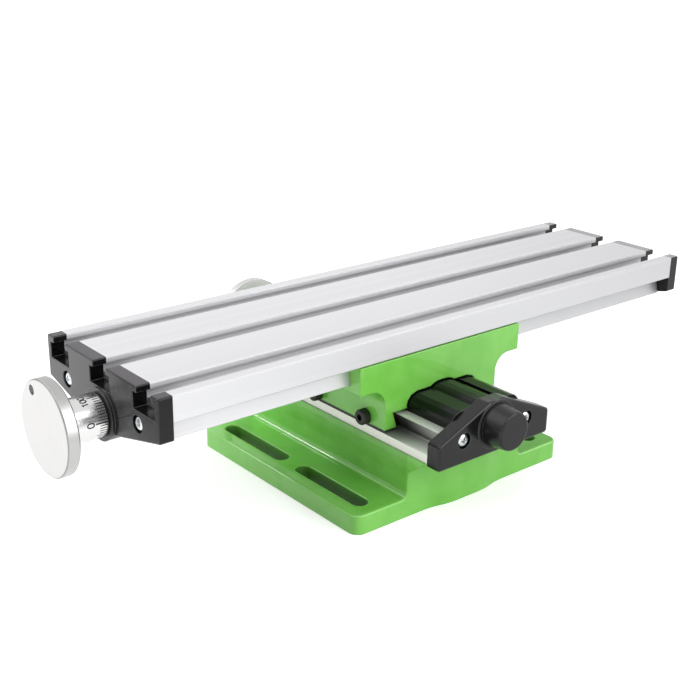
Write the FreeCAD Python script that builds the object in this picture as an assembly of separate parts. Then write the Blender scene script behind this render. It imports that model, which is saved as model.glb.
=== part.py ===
import FreeCAD, Part
import math
import os
from FreeCAD import Vector

# A small two-axis cross slide table for a bench drill or a light mill, in mm.
# Origin: centre of the base underside. X runs along the table, Y along the lower slide, Z up.

os.makedirs("parts", exist_ok=True)

# fits; every cut runs past the face it opens by overcut
running_gap = 0.05
drill_gap = 0.05
sleeve_gap = 0.01
pocket_gap = 0.1
edge_clearance = 0.2
ride_gap = 0.5
overcut = 1.0

# base casting
base_length = 128.4
base_width = 117.6
flange_thickness = 9.0
flange_corner_radius = 5.0
flange_edge_radius = 0.9
pad_height = 29.6
pad_ledge = 0.3
wall_foot_spread = 1.1
wall_foot_fillet = 3.0
bulge_crest_half_width = 7.0
bulge_side_run = 18.0
bulge_depth = 2.4
corbel_height = 8.1
corbel_to_cap = 0.4
hollow_half_width = 27.0
hollow_end_wall = 10.8
hollow_rib_half_width = 6.0
hollow_roof = 8.0
slot_to_end = 10.7
slot_end_wall = 6.85
slot_middle_wall = 9.1
slot_half_width = 4.0

# lower rail
rail_front_overhang = 10.2
rail_back_overhang = 19.1
rail_half_width = 34.3
rail_flange_thickness = 4.3
rail_dovetail_foot = 22.5
rail_dovetail_top = 26.4
rail_dovetail_height = 6.9
rail_channel_half_width = 11.0
rail_channel_floor = 2.6
rail_bolt_x = 18.0
rail_bolt_to_hollow_end = 10.0
rail_bolt_radius = 2.5
rail_bolt_head_radius = 4.25
rail_bolt_head_height = 5.0
rail_bolt_grip = 6.0
rail_bolt_hex = 2.0

# screws, dials and handwheels
screw_radius = 4.0
y_screw_rise = 0.1
x_screw_drop = 21.15
wheel_radius = 20.12
wheel_thickness = 5.35
wheel_reach = 24.86
wheel_edge = 0.5
handle_hole_circle = 16.2
handle_hole_angle = 58.0
handle_hole_radius = 2.1
dial_radius = 9.35
dial_gap = 0.3
dial_edge = 0.4
journal_radius = 3.0
wheel_bore_end_wall = 1.2
thread_start_gap = 2.0
thread_end_gap = 1.5
journal_far_length = 2.0
collar_radius = 5.5
collar_length = 1.9
grub_radius = 1.5
grub_offset = 12.0
grub_sink = 1.0
grub_hex = 0.7
grub_hex_depth = 1.4
bush_radius = 5.0
bush_flange_radius = 6.2
bush_flange_thickness = 1.0
y_front_bush_depth = 3.0
x_right_bush_depth = 2.5

# cover over the lower screw; its half outline is given as shares of half width and height
cover_side_step = 5.6
cover_height = 9.7
cover_thickness = 1.5
cover_slit_inner = 7.3
cover_slit_outer = 10.5
cover_slit_margin = 4.0
cover_shares = [(0.0, 1.0), (0.1635, 0.979), (0.269, 0.907), (0.346, 0.814), (0.75, 0.804),
                (0.894, 0.701), (0.986, 0.495), (1.0, 0.33)]

# moulded end caps
cap_screw_head_radius = 3.2
cap_screw_head_height = 2.3
cap_screw_radius = 2.0
cap_screw_grip = 7.0
cap_counterbore_radius = 3.7
cap_counterbore_depth = 2.4
cap_rim_share = 0.7
boss_radius = 11.3
boss_height = 1.4
boss_edge_radius = 0.4
y_cap_thickness = 6.9
y_front_boss_height = 0.7
y_cap_skirt = 2.1
y_cap_shoulder_drop = 1.5
y_cap_top_rise = 1.6
y_cap_top_half_width = 5.0
y_cap_screw_x = 19.3
y_cap_screw_drop = 2.4
y_cap_edge_radius = 1.8
plug_root_radius = 10.0
plug_tip_radius = 8.7
plug_length = 10.0
plug_edge_radius = 1.0
plug_spigot_radius = 7.5
plug_spigot_length = 2.6

# saddle casting
saddle_half_length = 49.0
saddle_roof = 6.6
saddle_jaw_height = 9.6
saddle_wing_floor = 3.2
saddle_way_headroom = 1.6
saddle_fillet = 8.0
saddle_edge_radius = 0.8
arch_gap = 0.7
gib_space_bottom = 4.7
gib_space_top = 3.5
y_gib_inset = 3.2
gib_screw_to_end = 10.8
gib_screw_shift = 1.8
gib_screw_rise = 4.0
gib_screw_radius = 2.0
gib_screw_head_radius = 3.6
gib_screw_head_height = 4.0
gib_screw_hex = 1.5

# table extrusion
table_length = 306.2
table_width = 90.0
table_mid_x = 12.8
table_mid_y = 3.2
skirt_height = 11.07
skirt_gap = 0.53
slot_to_edge = 10.91
slot_neck_width = 10.72
slot_wide_width = 16.2
slot_floor = 1.17
slot_lip = 2.7
slot_neck_break = 0.4
table_dovetail_step_top = 8.6
table_dovetail_step_bottom = 6.1
table_edge_radius = 0.5
table_channel_half_width = 9.0
table_channel_depth = 8.5
x_gib_thickness = 2.2
x_gib_inset = 2.0
x_gib_screw_to_end = 15.0
x_gib_screw_rise = 4.8

# table end caps
x_cap_thickness = 6.3
x_cap_side_height = 18.56
x_cap_inset = 0.1
x_cap_edge_radius = 0.9
x_cap_screw_to_edge = 16.3
x_cap_screw_drop = 15.6
x_cap_boss_sink = 0.5
x_cap_touch_angle = 36.0

# nuts
x_nut_half_length = 13.0
x_nut_half_width = 6.5
x_nut_below_screw = 4.65
x_nut_above_screw = 7.75
x_nut_foot_half_width = 14.0
x_nut_foot_thickness = 2.8
x_nut_screw_y = 10.4
x_nut_screw_grip = 3.4
x_nut_groove_side = 0.5
x_nut_groove_below = 0.3
y_nut_inset = 6.8
y_nut_length = 22.0
y_nut_half_width = 9.0
y_nut_below_screw = 7.5
y_nut_above_screw = 5.5
y_nut_neck_inner = 7.9
y_nut_neck_outer = 9.9
y_nut_foot_inner = 1.0
y_nut_foot_outer = 15.5
y_nut_foot_gap = 1.4
y_nut_foot_thickness = 2.4
y_nut_screw_x = 5.0
y_nut_screw_shares = (0.25, 0.75)
nut_screw_radius = 1.5
nut_screw_head_radius = 2.7
nut_screw_head_height = 1.6

# cross recess of the small screws, as shares of the head
recess_half_long = 0.55
recess_half_wide = 0.15
recess_depth = 0.6
head_round = 0.45

# widths that follow the rail, the base or the table
pad_half_width = rail_half_width + pad_ledge
wall_foot_half_width = pad_half_width + wall_foot_spread
saddle_leg_half_width = rail_half_width
slot_spacing_x = base_length - 2 * slot_to_end
slot_length = (base_width - 2 * slot_end_wall - slot_middle_wall) / 2
slot_offset_y = (slot_middle_wall + slot_length) / 2
hollow_half_length = base_width / 2 - hollow_end_wall
rail_bolt_y = hollow_half_length - rail_bolt_to_hollow_end
corbel_reach = rail_front_overhang - corbel_to_cap
gib_side_opening_bottom = rail_dovetail_foot + gib_space_bottom
gib_side_opening_top = rail_dovetail_top + gib_space_top
cover_half_width = rail_dovetail_top - cover_side_step
slot_pitch = table_width / 2 - slot_to_edge
table_dovetail_top = table_width / 2 - table_dovetail_step_top
table_dovetail_bottom = table_width / 2 - table_dovetail_step_bottom
x_cap_screw_y = table_width / 2 - x_cap_screw_to_edge
gib_screw_pitch = table_width / 2 - gib_screw_to_end
x_gib_half_length = saddle_half_length - x_gib_inset
x_gib_screw_pitch = saddle_half_length - x_gib_screw_to_end

# places along X and Y
rail_front_y = -base_width / 2 - rail_front_overhang
rail_back_y = base_width / 2 + rail_back_overhang
saddle_front_y = table_mid_y - table_width / 2
saddle_back_y = table_mid_y + table_width / 2
y_gib_front_y = saddle_front_y + y_gib_inset
y_gib_back_y = saddle_back_y - y_gib_inset
gib_screw_mid_y = table_mid_y + gib_screw_shift
y_nut_front_y = saddle_front_y + y_nut_inset
table_left_x = table_mid_x - table_length / 2
table_right_x = table_mid_x + table_length / 2
x_cap_face = table_left_x - x_cap_thickness
y_cap_face = rail_back_y + y_cap_thickness
y_front_boss_y = rail_front_y - y_cap_thickness - y_front_boss_height
dial_length = wheel_reach - wheel_thickness - boss_height - dial_gap

# heights, from the base up
hollow_height = pad_height - hollow_roof
corbel_start_z = pad_height - corbel_height
y_cap_bottom_z = pad_height - y_cap_skirt
rail_channel_floor_z = pad_height + rail_channel_floor
flange_top_z = pad_height + rail_flange_thickness
saddle_leg_bottom_z = flange_top_z + ride_gap
gib_screw_z = flange_top_z + gib_screw_rise
rail_flat_z = flange_top_z + rail_dovetail_height
y_cap_shoulder_z = rail_flat_z - y_cap_shoulder_drop
y_cap_screw_z = rail_flat_z - y_cap_screw_drop
y_screw_z = rail_flat_z + y_screw_rise
y_nut_bottom_z = y_screw_z - y_nut_below_screw
y_nut_top_z = y_screw_z + y_nut_above_screw
saddle_leg_top_z = rail_flat_z + saddle_way_headroom
cover_top_z = rail_flat_z + cover_height
y_cap_top_z = cover_top_z + y_cap_top_rise
y_nut_foot_z = cover_top_z + y_nut_foot_gap
saddle_floor_z = cover_top_z + arch_gap + saddle_roof
saddle_shoulder_z = saddle_floor_z - saddle_wing_floor
saddle_top_z = saddle_floor_z + saddle_jaw_height
x_nut_foot_z = saddle_floor_z - x_nut_foot_thickness - pocket_gap
x_gib_screw_z = saddle_floor_z + x_gib_screw_rise
table_dovetail_z = saddle_floor_z + ride_gap
table_channel_top_z = table_dovetail_z + table_channel_depth
skirt_z = saddle_top_z + skirt_gap
table_top_z = skirt_z + skirt_height
slot_floor_z = skirt_z + slot_floor
x_screw_z = table_top_z - x_screw_drop
x_nut_bottom_z = x_screw_z - x_nut_below_screw
x_nut_top_z = x_screw_z + x_nut_above_screw

# ends of the two screws' axes in their caps, and the screw cover's half outline
x_left_end = Vector(table_left_x, table_mid_y, x_screw_z)
x_right_end = Vector(table_right_x, table_mid_y, x_screw_z)
y_front_end = Vector(0, rail_front_y, y_screw_z)
y_back_end = Vector(0, rail_back_y, y_screw_z)
cover_outline = [(u * cover_half_width, rail_flat_z + v * cover_height) for u, v in cover_shares]


def face_of(points):
    return Part.Face(Part.makePolygon(points + [points[0]]))


def along_x(outline, start, end):
    """Solid whose outline of (y, z) pairs runs from x = start to x = end."""
    return face_of([Vector(start, y, z) for y, z in outline]).extrude(Vector(end - start, 0, 0))


def along_y(outline, start, end):
    """Solid whose outline of (x, z) pairs runs from y = start to y = end."""
    return face_of([Vector(x, start, z) for x, z in outline]).extrude(Vector(0, end - start, 0))


def block(x, y, z):
    """Box between pairs of limits along each axis."""
    return Part.makeBox(x[1] - x[0], y[1] - y[0], z[1] - z[0], Vector(x[0], y[0], z[0]))


def rod(radius, start, end):
    """Cylinder between two points."""
    return Part.makeCylinder(radius, (end - start).Length, start, end - start)


def mirrored(half):
    """Closed outline from a half outline given from the middle outwards."""
    return [(-u, v) for u, v in reversed(half) if u] + half


def edges_where(shape, test):
    return [edge for edge in shape.Edges if test(edge)]


def near(value, target):
    return abs(value - target) < 1e-4


def is_vertical(edge):
    ends = [v.Point for v in edge.Vertexes]
    return len(ends) == 2 and near(ends[0].x, ends[1].x) and near(ends[0].y, ends[1].y)


def lies_at(edge, axis, value):
    return all(near(getattr(v.Point, axis), value) for v in edge.Vertexes)


def hexagon(centre, across, axis, depth):
    """Hexagonal prism for a key socket, sunk along the axis vector."""
    side = Vector(0, 0, 1) if abs(axis.z) < 0.5 else Vector(1, 0, 0)
    other = axis.cross(side)
    radius = across / math.cos(math.radians(30))
    turns = [math.radians(60 * i) for i in range(6)]
    points = [centre + side * radius * math.cos(t) + other * radius * math.sin(t) for t in turns]
    return face_of(points).extrude(axis * depth)


def socket_screw(seat, axis, radius, grip, head_radius, head_height, hex_half):
    """Socket-head screw whose head stands on seat and whose shank runs along axis."""
    shank = rod(radius, seat - axis * (head_height / 2), seat + axis * grip)
    head = rod(head_radius, seat - axis * head_height, seat)
    socket = hexagon(seat - axis * head_height, hex_half, axis, head_height / 2)
    return head.fuse(shank).removeSplitter().cut(socket)


def cross_screw(seat, axis, radius, grip, head_radius, head_height):
    """Pan-head cross-recess screw whose head stands on seat."""
    shank = rod(radius, seat - axis * (head_height / 2), seat + axis * grip)
    head = rod(head_radius, seat - axis * head_height, seat)
    rim = edges_where(head, lambda e: e.Curve.TypeId == "Part::GeomCircle"
                      and (e.Curve.Center - seat).Length > head_height / 2)
    head = head.makeFillet(head_height * head_round, rim)
    screw = head.fuse(shank).removeSplitter()
    top = seat - axis * head_height
    side = Vector(0, 0, 1) if abs(axis.z) < 0.5 else Vector(1, 0, 0)
    other = axis.cross(side)
    half_long = head_radius * recess_half_long
    half_wide = head_radius * recess_half_wide
    depth = head_height * recess_depth
    for a, b in ((half_long, half_wide), (half_wide, half_long)):
        corners = [(-a, -b), (a, -b), (a, b), (-a, b)]
        slot = face_of([top + side * u + other * v for u, v in corners]).extrude(axis * depth)
        screw = screw.cut(slot)
    return screw


def keep(name, shape):
    """Writes one solid to its own file."""
    solid = shape.Solids[0] if len(shape.Solids) == 1 else shape
    if len(shape.Solids) != 1 or not solid.isValid():
        raise ValueError(name + " is not one valid solid")
    solid.exportStep("parts/" + name + ".step")


def rail_bolt_points():
    return [(sx * rail_bolt_x, sy * rail_bolt_y) for sx in (-1, 1) for sy in (-1, 1)]


def wall_plan():
    """Outline of the base's centre wall from above: each end swells out in a low, smooth wave."""
    half_y = base_width / 2
    radius = (bulge_side_run ** 2 + bulge_depth ** 2) / (4 * bulge_depth)
    half_turn = math.asin(bulge_side_run / 2 / radius) / 2
    across = radius * math.sin(half_turn)
    rise = radius * (1 - math.cos(half_turn))
    middle = bulge_crest_half_width + bulge_side_run / 2
    foot = bulge_crest_half_width + bulge_side_run
    wave = [(foot, 0), (foot - across, rise), (middle, bulge_depth / 2),
            (bulge_crest_half_width + across, bulge_depth - rise), (bulge_crest_half_width, bulge_depth)]
    edges = []
    for sign in (-1, 1):
        crest = []
        for side in (-1, 1):
            points = [Vector(side * x, sign * (half_y + y), 0) for x, y in wave]
            edges.append(Part.LineSegment(Vector(side * wall_foot_half_width, sign * half_y, 0),
                                          points[0]).toShape())
            edges.append(Part.Arc(*points[:3]).toShape())
            edges.append(Part.Arc(*points[2:]).toShape())
            crest.append(points[-1])
        edges.append(Part.LineSegment(*crest).toShape())
    for side in (-1, 1):
        edges.append(Part.LineSegment(Vector(side * wall_foot_half_width, -half_y, 0),
                                      Vector(side * wall_foot_half_width, half_y, 0)).toShape())
    return Part.Face(Part.Wire(Part.__sortEdges__(edges)))


def base_casting():
    half_x = base_length / 2
    half_y = base_width / 2
    flange = block((-half_x, half_x), (-half_y, half_y), (0, flange_thickness))
    flange = flange.makeFillet(flange_corner_radius, edges_where(flange, is_vertical))
    profile = [(-wall_foot_half_width, 0), (wall_foot_half_width, 0),
               (pad_half_width, pad_height), (-pad_half_width, pad_height)]
    corbels = [(-half_y, corbel_start_z), (half_y, corbel_start_z),
               (half_y + corbel_reach, pad_height), (-half_y - corbel_reach, pad_height)]
    centre = wall_plan().extrude(Vector(0, 0, pad_height))
    centre = centre.fuse(along_x(corbels, -wall_foot_half_width, wall_foot_half_width))
    centre = centre.common(along_y(profile, -half_y - corbel_reach, half_y + corbel_reach))
    body = flange.fuse(centre).removeSplitter()
    foot = edges_where(body, lambda e: lies_at(e, "z", flange_thickness) and e.Length > half_y
                       and abs(e.CenterOfMass.x) < slot_spacing_x / 2)
    body = body.makeFillet(wall_foot_fillet, foot)
    rim = edges_where(body, lambda e: lies_at(e, "z", flange_thickness)
                      and near(abs(e.CenterOfMass.x), half_x))
    body = body.makeFillet(flange_edge_radius, rim)
    for near_y, far_y in ((-hollow_half_length, -hollow_rib_half_width),
                          (hollow_rib_half_width, hollow_half_length)):
        body = body.cut(block((-hollow_half_width, hollow_half_width), (near_y, far_y),
                              (-overcut, hollow_height)))
    for sx in (-1, 1):
        for sy in (-1, 1):
            body = body.cut(bolt_slot(sx * slot_spacing_x / 2, sy * slot_offset_y))
    for x, y in rail_bolt_points():
        body = body.cut(rod(rail_bolt_radius + drill_gap, Vector(x, y, hollow_height - overcut),
                            Vector(x, y, pad_height + overcut)))
    return body


def bolt_slot(x, y):
    straight = slot_length / 2 - slot_half_width
    slot = block((x - slot_half_width, x + slot_half_width), (y - straight, y + straight),
                 (-overcut, flange_thickness + overcut))
    for end in (-straight, straight):
        slot = slot.fuse(rod(slot_half_width, Vector(x, y + end, -overcut),
                             Vector(x, y + end, flange_thickness + overcut)))
    return slot.removeSplitter()


def y_rail():
    half = [(rail_half_width, pad_height), (rail_half_width, flange_top_z),
            (rail_dovetail_foot, flange_top_z), (rail_dovetail_top, rail_flat_z),
            (rail_channel_half_width, rail_flat_z), (rail_channel_half_width, rail_channel_floor_z)]
    rail = along_y(mirrored(half), rail_front_y, rail_back_y)
    for x, y in rail_bolt_points():
        rail = rail.cut(rod(rail_bolt_radius + drill_gap, Vector(x, y, pad_height - overcut),
                            Vector(x, y, pad_height + rail_bolt_grip)))
    for x in (-y_cap_screw_x, y_cap_screw_x):
        for end, inward in ((rail_front_y, 1), (rail_back_y, -1)):
            hole_end = end + inward * (cap_screw_grip + overcut)
            hole_start = end - inward * overcut
            rail = rail.cut(rod(cap_screw_radius + drill_gap, Vector(x, hole_start, y_cap_screw_z),
                                Vector(x, hole_end, y_cap_screw_z)))
    return rail


def rail_bolt(x, y):
    seat = Vector(x, y, hollow_height)
    grip = pad_height - hollow_height + rail_bolt_grip - overcut
    return socket_screw(seat, Vector(0, 0, 1), rail_bolt_radius, grip, rail_bolt_head_radius,
                        rail_bolt_head_height, rail_bolt_hex)


def offset_cover(distance):
    """Half outline of the cover moved outwards by a distance, in steps along each corner."""
    points = []
    count = len(cover_outline)
    for i, (u, v) in enumerate(cover_outline):
        before = cover_outline[max(i - 1, 0)]
        after = cover_outline[min(i + 1, count - 1)]
        run = after[0] - before[0]
        rise = after[1] - before[1]
        size = math.hypot(run, rise)
        points.append((u - rise / size * distance if u else 0.0, v + run / size * distance))
    return points


def closed_cover(distance, foot_z):
    half = offset_cover(distance)
    half.append((cover_half_width + distance, foot_z))
    return mirrored(half)


def y_screw_cover():
    ends = (rail_front_y + running_gap, rail_back_y - running_gap)
    outer = along_y(closed_cover(0.0, rail_flat_z), *ends)
    inner = along_y(closed_cover(-cover_thickness, rail_flat_z - overcut),
                    ends[0] - overcut, ends[1] + overcut)
    slit = block((cover_slit_inner, cover_slit_outer),
                 (ends[0] + cover_slit_margin, ends[1] - cover_slit_margin), (rail_flat_z, y_nut_foot_z))
    return outer.cut(inner).cut(slit)


def y_cap_outline():
    return mirrored([(y_cap_top_half_width, y_cap_top_z), (rail_half_width, y_cap_shoulder_z),
                     (rail_half_width, y_cap_bottom_z)])


def y_cap(inner_y, outward, boss_rise):
    """Moulded end cap of the lower rail; outward is -1 at the front and 1 at the back."""
    face_y = inner_y + outward * y_cap_thickness
    boss_y = face_y + outward * boss_rise
    cap = along_y(y_cap_outline(), inner_y, face_y)
    corners = edges_where(cap, lambda e: near(e.CenterOfMass.y, (inner_y + face_y) / 2))
    cap = cap.makeFillet(y_cap_edge_radius, corners)
    rim = edges_where(cap, lambda e: lies_at(e, "y", face_y))
    cap = cap.makeFillet(y_cap_edge_radius * cap_rim_share, rim)
    boss = rod(boss_radius, Vector(0, inner_y, y_screw_z), Vector(0, boss_y, y_screw_z))
    boss_rim = edges_where(boss, lambda e: e.Curve.TypeId == "Part::GeomCircle"
                           and lies_at(e, "y", boss_y))
    cap = cap.fuse(boss.makeFillet(boss_edge_radius, boss_rim)).removeSplitter()
    for x in (-y_cap_screw_x, y_cap_screw_x):
        past = Vector(x, boss_y + outward * overcut, y_cap_screw_z)
        hole = rod(cap_screw_radius + drill_gap, Vector(x, inner_y - outward * overcut, y_cap_screw_z), past)
        sunk = rod(cap_counterbore_radius,
                   Vector(x, face_y - outward * cap_counterbore_depth, y_cap_screw_z), past)
        cap = cap.cut(hole).cut(sunk)
    return cap


def bush_bore(centre, inward, depth):
    """Hole for a bearing bush, flange recess included, from a cap's inner face outwards."""
    outward = inward * -1
    start = centre + inward * overcut
    hole = rod(bush_radius + drill_gap, start, centre + outward * (depth + overcut))
    recess = rod(bush_flange_radius + drill_gap, start,
                 centre + outward * (bush_flange_thickness + drill_gap))
    return hole.fuse(recess)


def bush(centre, inward, depth):
    """Flanged bearing bush seated in a cap from its inner face."""
    outward = inward * -1
    body = rod(bush_radius, centre, centre + outward * depth)
    flange = rod(bush_flange_radius, centre, centre + outward * bush_flange_thickness)
    bore = rod(journal_radius + running_gap, centre + inward * overcut,
               centre + outward * (depth + overcut))
    return body.fuse(flange).removeSplitter().cut(bore)


def y_front_cap():
    cap = y_cap(rail_front_y, -1, y_front_boss_height)
    cap = cap.cut(bush_bore(y_front_end, Vector(0, 1, 0), y_front_bush_depth))
    socket = rod(plug_spigot_radius + drill_gap, Vector(0, y_front_boss_y - overcut, y_screw_z),
                 Vector(0, y_front_boss_y + plug_spigot_length + edge_clearance, y_screw_z))
    return cap.cut(socket)


def y_back_cap():
    through = y_cap_thickness + boss_height
    return y_cap(rail_back_y, 1, boss_height).cut(bush_bore(y_back_end, Vector(0, -1, 0), through))


def y_front_plug():
    cone = Part.makeCone(plug_root_radius, plug_tip_radius, plug_length,
                         Vector(0, y_front_boss_y, y_screw_z), Vector(0, -1, 0))
    rim = edges_where(cone, lambda e: e.Curve.TypeId == "Part::GeomCircle"
                      and lies_at(e, "y", y_front_boss_y - plug_length))
    cone = cone.makeFillet(plug_edge_radius, rim)
    spigot = rod(plug_spigot_radius, Vector(0, y_front_boss_y - plug_edge_radius, y_screw_z),
                 Vector(0, y_front_boss_y + plug_spigot_length, y_screw_z))
    return cone.fuse(spigot).removeSplitter()


def y_cap_screw(x, end, inward):
    seat_y = end - inward * (y_cap_thickness - cap_counterbore_depth)
    return cross_screw(Vector(x, seat_y, y_cap_screw_z), Vector(0, inward, 0), cap_screw_radius,
                       y_cap_thickness - cap_counterbore_depth + cap_screw_grip,
                       cap_screw_head_radius, cap_screw_head_height)


def saddle_outline():
    leg = saddle_leg_half_width
    shoulder = saddle_shoulder_z
    return [(-saddle_half_length, shoulder), (-saddle_half_length, saddle_top_z),
            (saddle_half_length, saddle_top_z), (saddle_half_length, shoulder), (leg, shoulder),
            (leg, saddle_leg_bottom_z), (-leg, saddle_leg_bottom_z), (-leg, shoulder)]


def flank_x(z):
    """Half width of the rail's dovetail at a height."""
    share = (z - flange_top_z) / (rail_flat_z - flange_top_z)
    return rail_dovetail_foot + share * (rail_dovetail_top - rail_dovetail_foot)


def table_flank_y(z):
    """Half width of the table's dovetail at a height."""
    share = (z - table_dovetail_z) / (skirt_z - table_dovetail_z)
    return table_dovetail_bottom + share * (table_dovetail_top - table_dovetail_bottom)


def gib_side_x(z):
    """Half width of the saddle's opening on the gib's side at a height."""
    share = (z - saddle_leg_bottom_z) / (saddle_leg_top_z - saddle_leg_bottom_z)
    return gib_side_opening_bottom + share * (gib_side_opening_top - gib_side_opening_bottom)


def y_way():
    """Space that the saddle leaves for the rail's dovetail, the gib and the screw cover."""
    low = saddle_leg_bottom_z - overcut
    high = saddle_leg_top_z
    ends = (saddle_front_y - overcut, saddle_back_y + overcut)
    outline = [(-gib_side_x(low), low), (flank_x(low) + running_gap, low),
               (flank_x(high) + running_gap, high), (-gib_side_x(high), high)]
    arch = along_y(closed_cover(arch_gap, high - overcut), *ends)
    return along_y(outline, *ends).fuse(arch)


def x_way():
    """Space that the saddle leaves for the table's dovetail and its gib."""
    high = saddle_top_z + overcut
    reach = saddle_half_length + overcut
    front = [(table_mid_y - table_flank_y(z) - running_gap, z) for z in (saddle_floor_z, high)]
    back = [(table_mid_y + table_flank_y(z) + 2 * running_gap + x_gib_thickness, z)
            for z in (high, saddle_floor_z)]
    return along_x(front + back, -reach, reach)


def saddle_casting():
    body = along_y(saddle_outline(), saddle_front_y, saddle_back_y)
    inner = edges_where(body, lambda e: near(abs(e.CenterOfMass.x), saddle_leg_half_width)
                        and near(e.CenterOfMass.z, saddle_shoulder_z))
    body = body.makeFillet(saddle_fillet, inner)
    outer = edges_where(body, lambda e: near(abs(e.CenterOfMass.x), saddle_half_length)
                        and near(e.Length, saddle_back_y - saddle_front_y))
    body = body.makeFillet(saddle_edge_radius, outer)
    body = body.cut(y_way()).cut(x_way())
    for space in x_nut_spaces() + y_nut_spaces() + gib_screw_holes():
        body = body.cut(space)
    return body


def x_nut_spaces():
    """Groove under the table screw, recess for the nut's foot and the nut's screw holes."""
    above = saddle_floor_z + overcut
    reach = saddle_half_length + overcut
    groove_y = x_nut_half_width + x_nut_groove_side
    foot_x = x_nut_half_length + pocket_gap
    foot_y = x_nut_foot_half_width + pocket_gap
    groove = block((-reach, reach), (table_mid_y - groove_y, table_mid_y + groove_y),
                   (x_nut_bottom_z - x_nut_groove_below, above))
    recess = block((-foot_x, foot_x), (table_mid_y - foot_y, table_mid_y + foot_y), (x_nut_foot_z, above))
    spaces = [groove, recess]
    screw_end_z = x_nut_screw_seat_z() - x_nut_screw_grip - edge_clearance
    for y in x_nut_screws():
        spaces.append(rod(nut_screw_radius + drill_gap, Vector(0, y, screw_end_z), Vector(0, y, above)))
    return spaces


def y_nut_spaces():
    """Pocket for the foot of the lower nut and the counterbored holes of its screws."""
    above = saddle_floor_z + overcut
    pocket = block((y_nut_foot_inner - pocket_gap, y_nut_foot_outer + pocket_gap),
                   (y_nut_front_y - pocket_gap, y_nut_front_y + y_nut_length + pocket_gap),
                   (y_nut_top_z, y_nut_foot_z + y_nut_foot_thickness))
    spaces = [pocket]
    for y in y_nut_screws():
        top = Vector(y_nut_screw_x, y, above)
        spaces.append(rod(nut_screw_radius + drill_gap, Vector(y_nut_screw_x, y, y_nut_foot_z), top))
        spaces.append(rod(nut_screw_head_radius + pocket_gap,
                          Vector(y_nut_screw_x, y, y_nut_screw_seat_z()), top))
    return spaces


def gib_screw_holes():
    """Holes of both rows of gib screws."""
    radius = gib_screw_radius + drill_gap
    holes = []
    for y in gib_screw_rows(gib_screw_pitch, gib_screw_mid_y):
        holes.append(rod(radius, Vector(-saddle_leg_half_width - overcut, y, gib_screw_z),
                         Vector(-flank_x(gib_screw_z), y, gib_screw_z)))
    for x in gib_screw_rows(x_gib_screw_pitch, 0.0):
        holes.append(rod(radius, Vector(x, table_mid_y + table_flank_y(x_gib_screw_z), x_gib_screw_z),
                         Vector(x, saddle_back_y + overcut, x_gib_screw_z)))
    return holes


def gib_screw_rows(pitch, middle):
    return [middle + step * pitch for step in (-1, 0, 1)]


def x_nut_screws():
    return [table_mid_y - x_nut_screw_y, table_mid_y + x_nut_screw_y]


def y_nut_screws():
    return [y_nut_front_y + y_nut_length * share for share in y_nut_screw_shares]


def x_nut_screw_seat_z():
    return x_nut_foot_z + x_nut_foot_thickness - nut_screw_head_height


def y_nut_screw_seat_z():
    return saddle_floor_z - nut_screw_head_height - pocket_gap


def y_gib():
    low = saddle_leg_bottom_z + pocket_gap
    high = rail_flat_z - edge_clearance
    outline = [(-flank_x(z) - running_gap, z) for z in (low, high)]
    outline += [(-gib_side_x(z) + running_gap, z) for z in (high, low)]
    return along_y(outline, y_gib_front_y, y_gib_back_y)


def y_gib_screw(y):
    grip = saddle_leg_half_width - gib_side_x(gib_screw_z + gib_screw_radius) - running_gap
    return socket_screw(Vector(-saddle_leg_half_width, y, gib_screw_z), Vector(1, 0, 0),
                        gib_screw_radius, grip, gib_screw_head_radius, gib_screw_head_height,
                        gib_screw_hex)


def x_gib():
    low = saddle_floor_z + pocket_gap
    high = saddle_top_z - edge_clearance
    inner = [(table_mid_y + table_flank_y(z) + running_gap, z) for z in (low, high)]
    outer = [(y + x_gib_thickness, z) for y, z in reversed(inner)]
    return along_x(inner + outer, -x_gib_half_length, x_gib_half_length)


def x_gib_screw(x):
    gib_y = table_mid_y + table_flank_y(x_gib_screw_z - gib_screw_radius) + x_gib_thickness
    grip = saddle_back_y - gib_y - 2 * running_gap
    return socket_screw(Vector(x, saddle_back_y, x_gib_screw_z), Vector(0, -1, 0), gib_screw_radius,
                        grip, gib_screw_head_radius, gib_screw_head_height, gib_screw_hex)


def x_nut():
    body = block((-x_nut_half_length, x_nut_half_length),
                 (table_mid_y - x_nut_half_width, table_mid_y + x_nut_half_width),
                 (x_nut_bottom_z, x_nut_top_z))
    foot = block((-x_nut_half_length, x_nut_half_length),
                 (table_mid_y - x_nut_foot_half_width, table_mid_y + x_nut_foot_half_width),
                 (x_nut_foot_z, x_nut_foot_z + x_nut_foot_thickness))
    nut = body.fuse(foot).removeSplitter()
    reach = x_nut_half_length + overcut
    nut = nut.cut(rod(screw_radius + running_gap, Vector(-reach, table_mid_y, x_screw_z),
                      Vector(reach, table_mid_y, x_screw_z)))
    above = x_nut_foot_z + x_nut_foot_thickness + overcut
    for y in x_nut_screws():
        nut = nut.cut(rod(nut_screw_radius + drill_gap, Vector(0, y, x_nut_foot_z - overcut),
                          Vector(0, y, above)))
        nut = nut.cut(rod(nut_screw_head_radius + pocket_gap, Vector(0, y, x_nut_screw_seat_z()),
                          Vector(0, y, above)))
    return nut


def x_nut_screw(y):
    return cross_screw(Vector(0, y, x_nut_screw_seat_z()), Vector(0, 0, -1), nut_screw_radius,
                       x_nut_screw_grip, nut_screw_head_radius, nut_screw_head_height)


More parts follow.
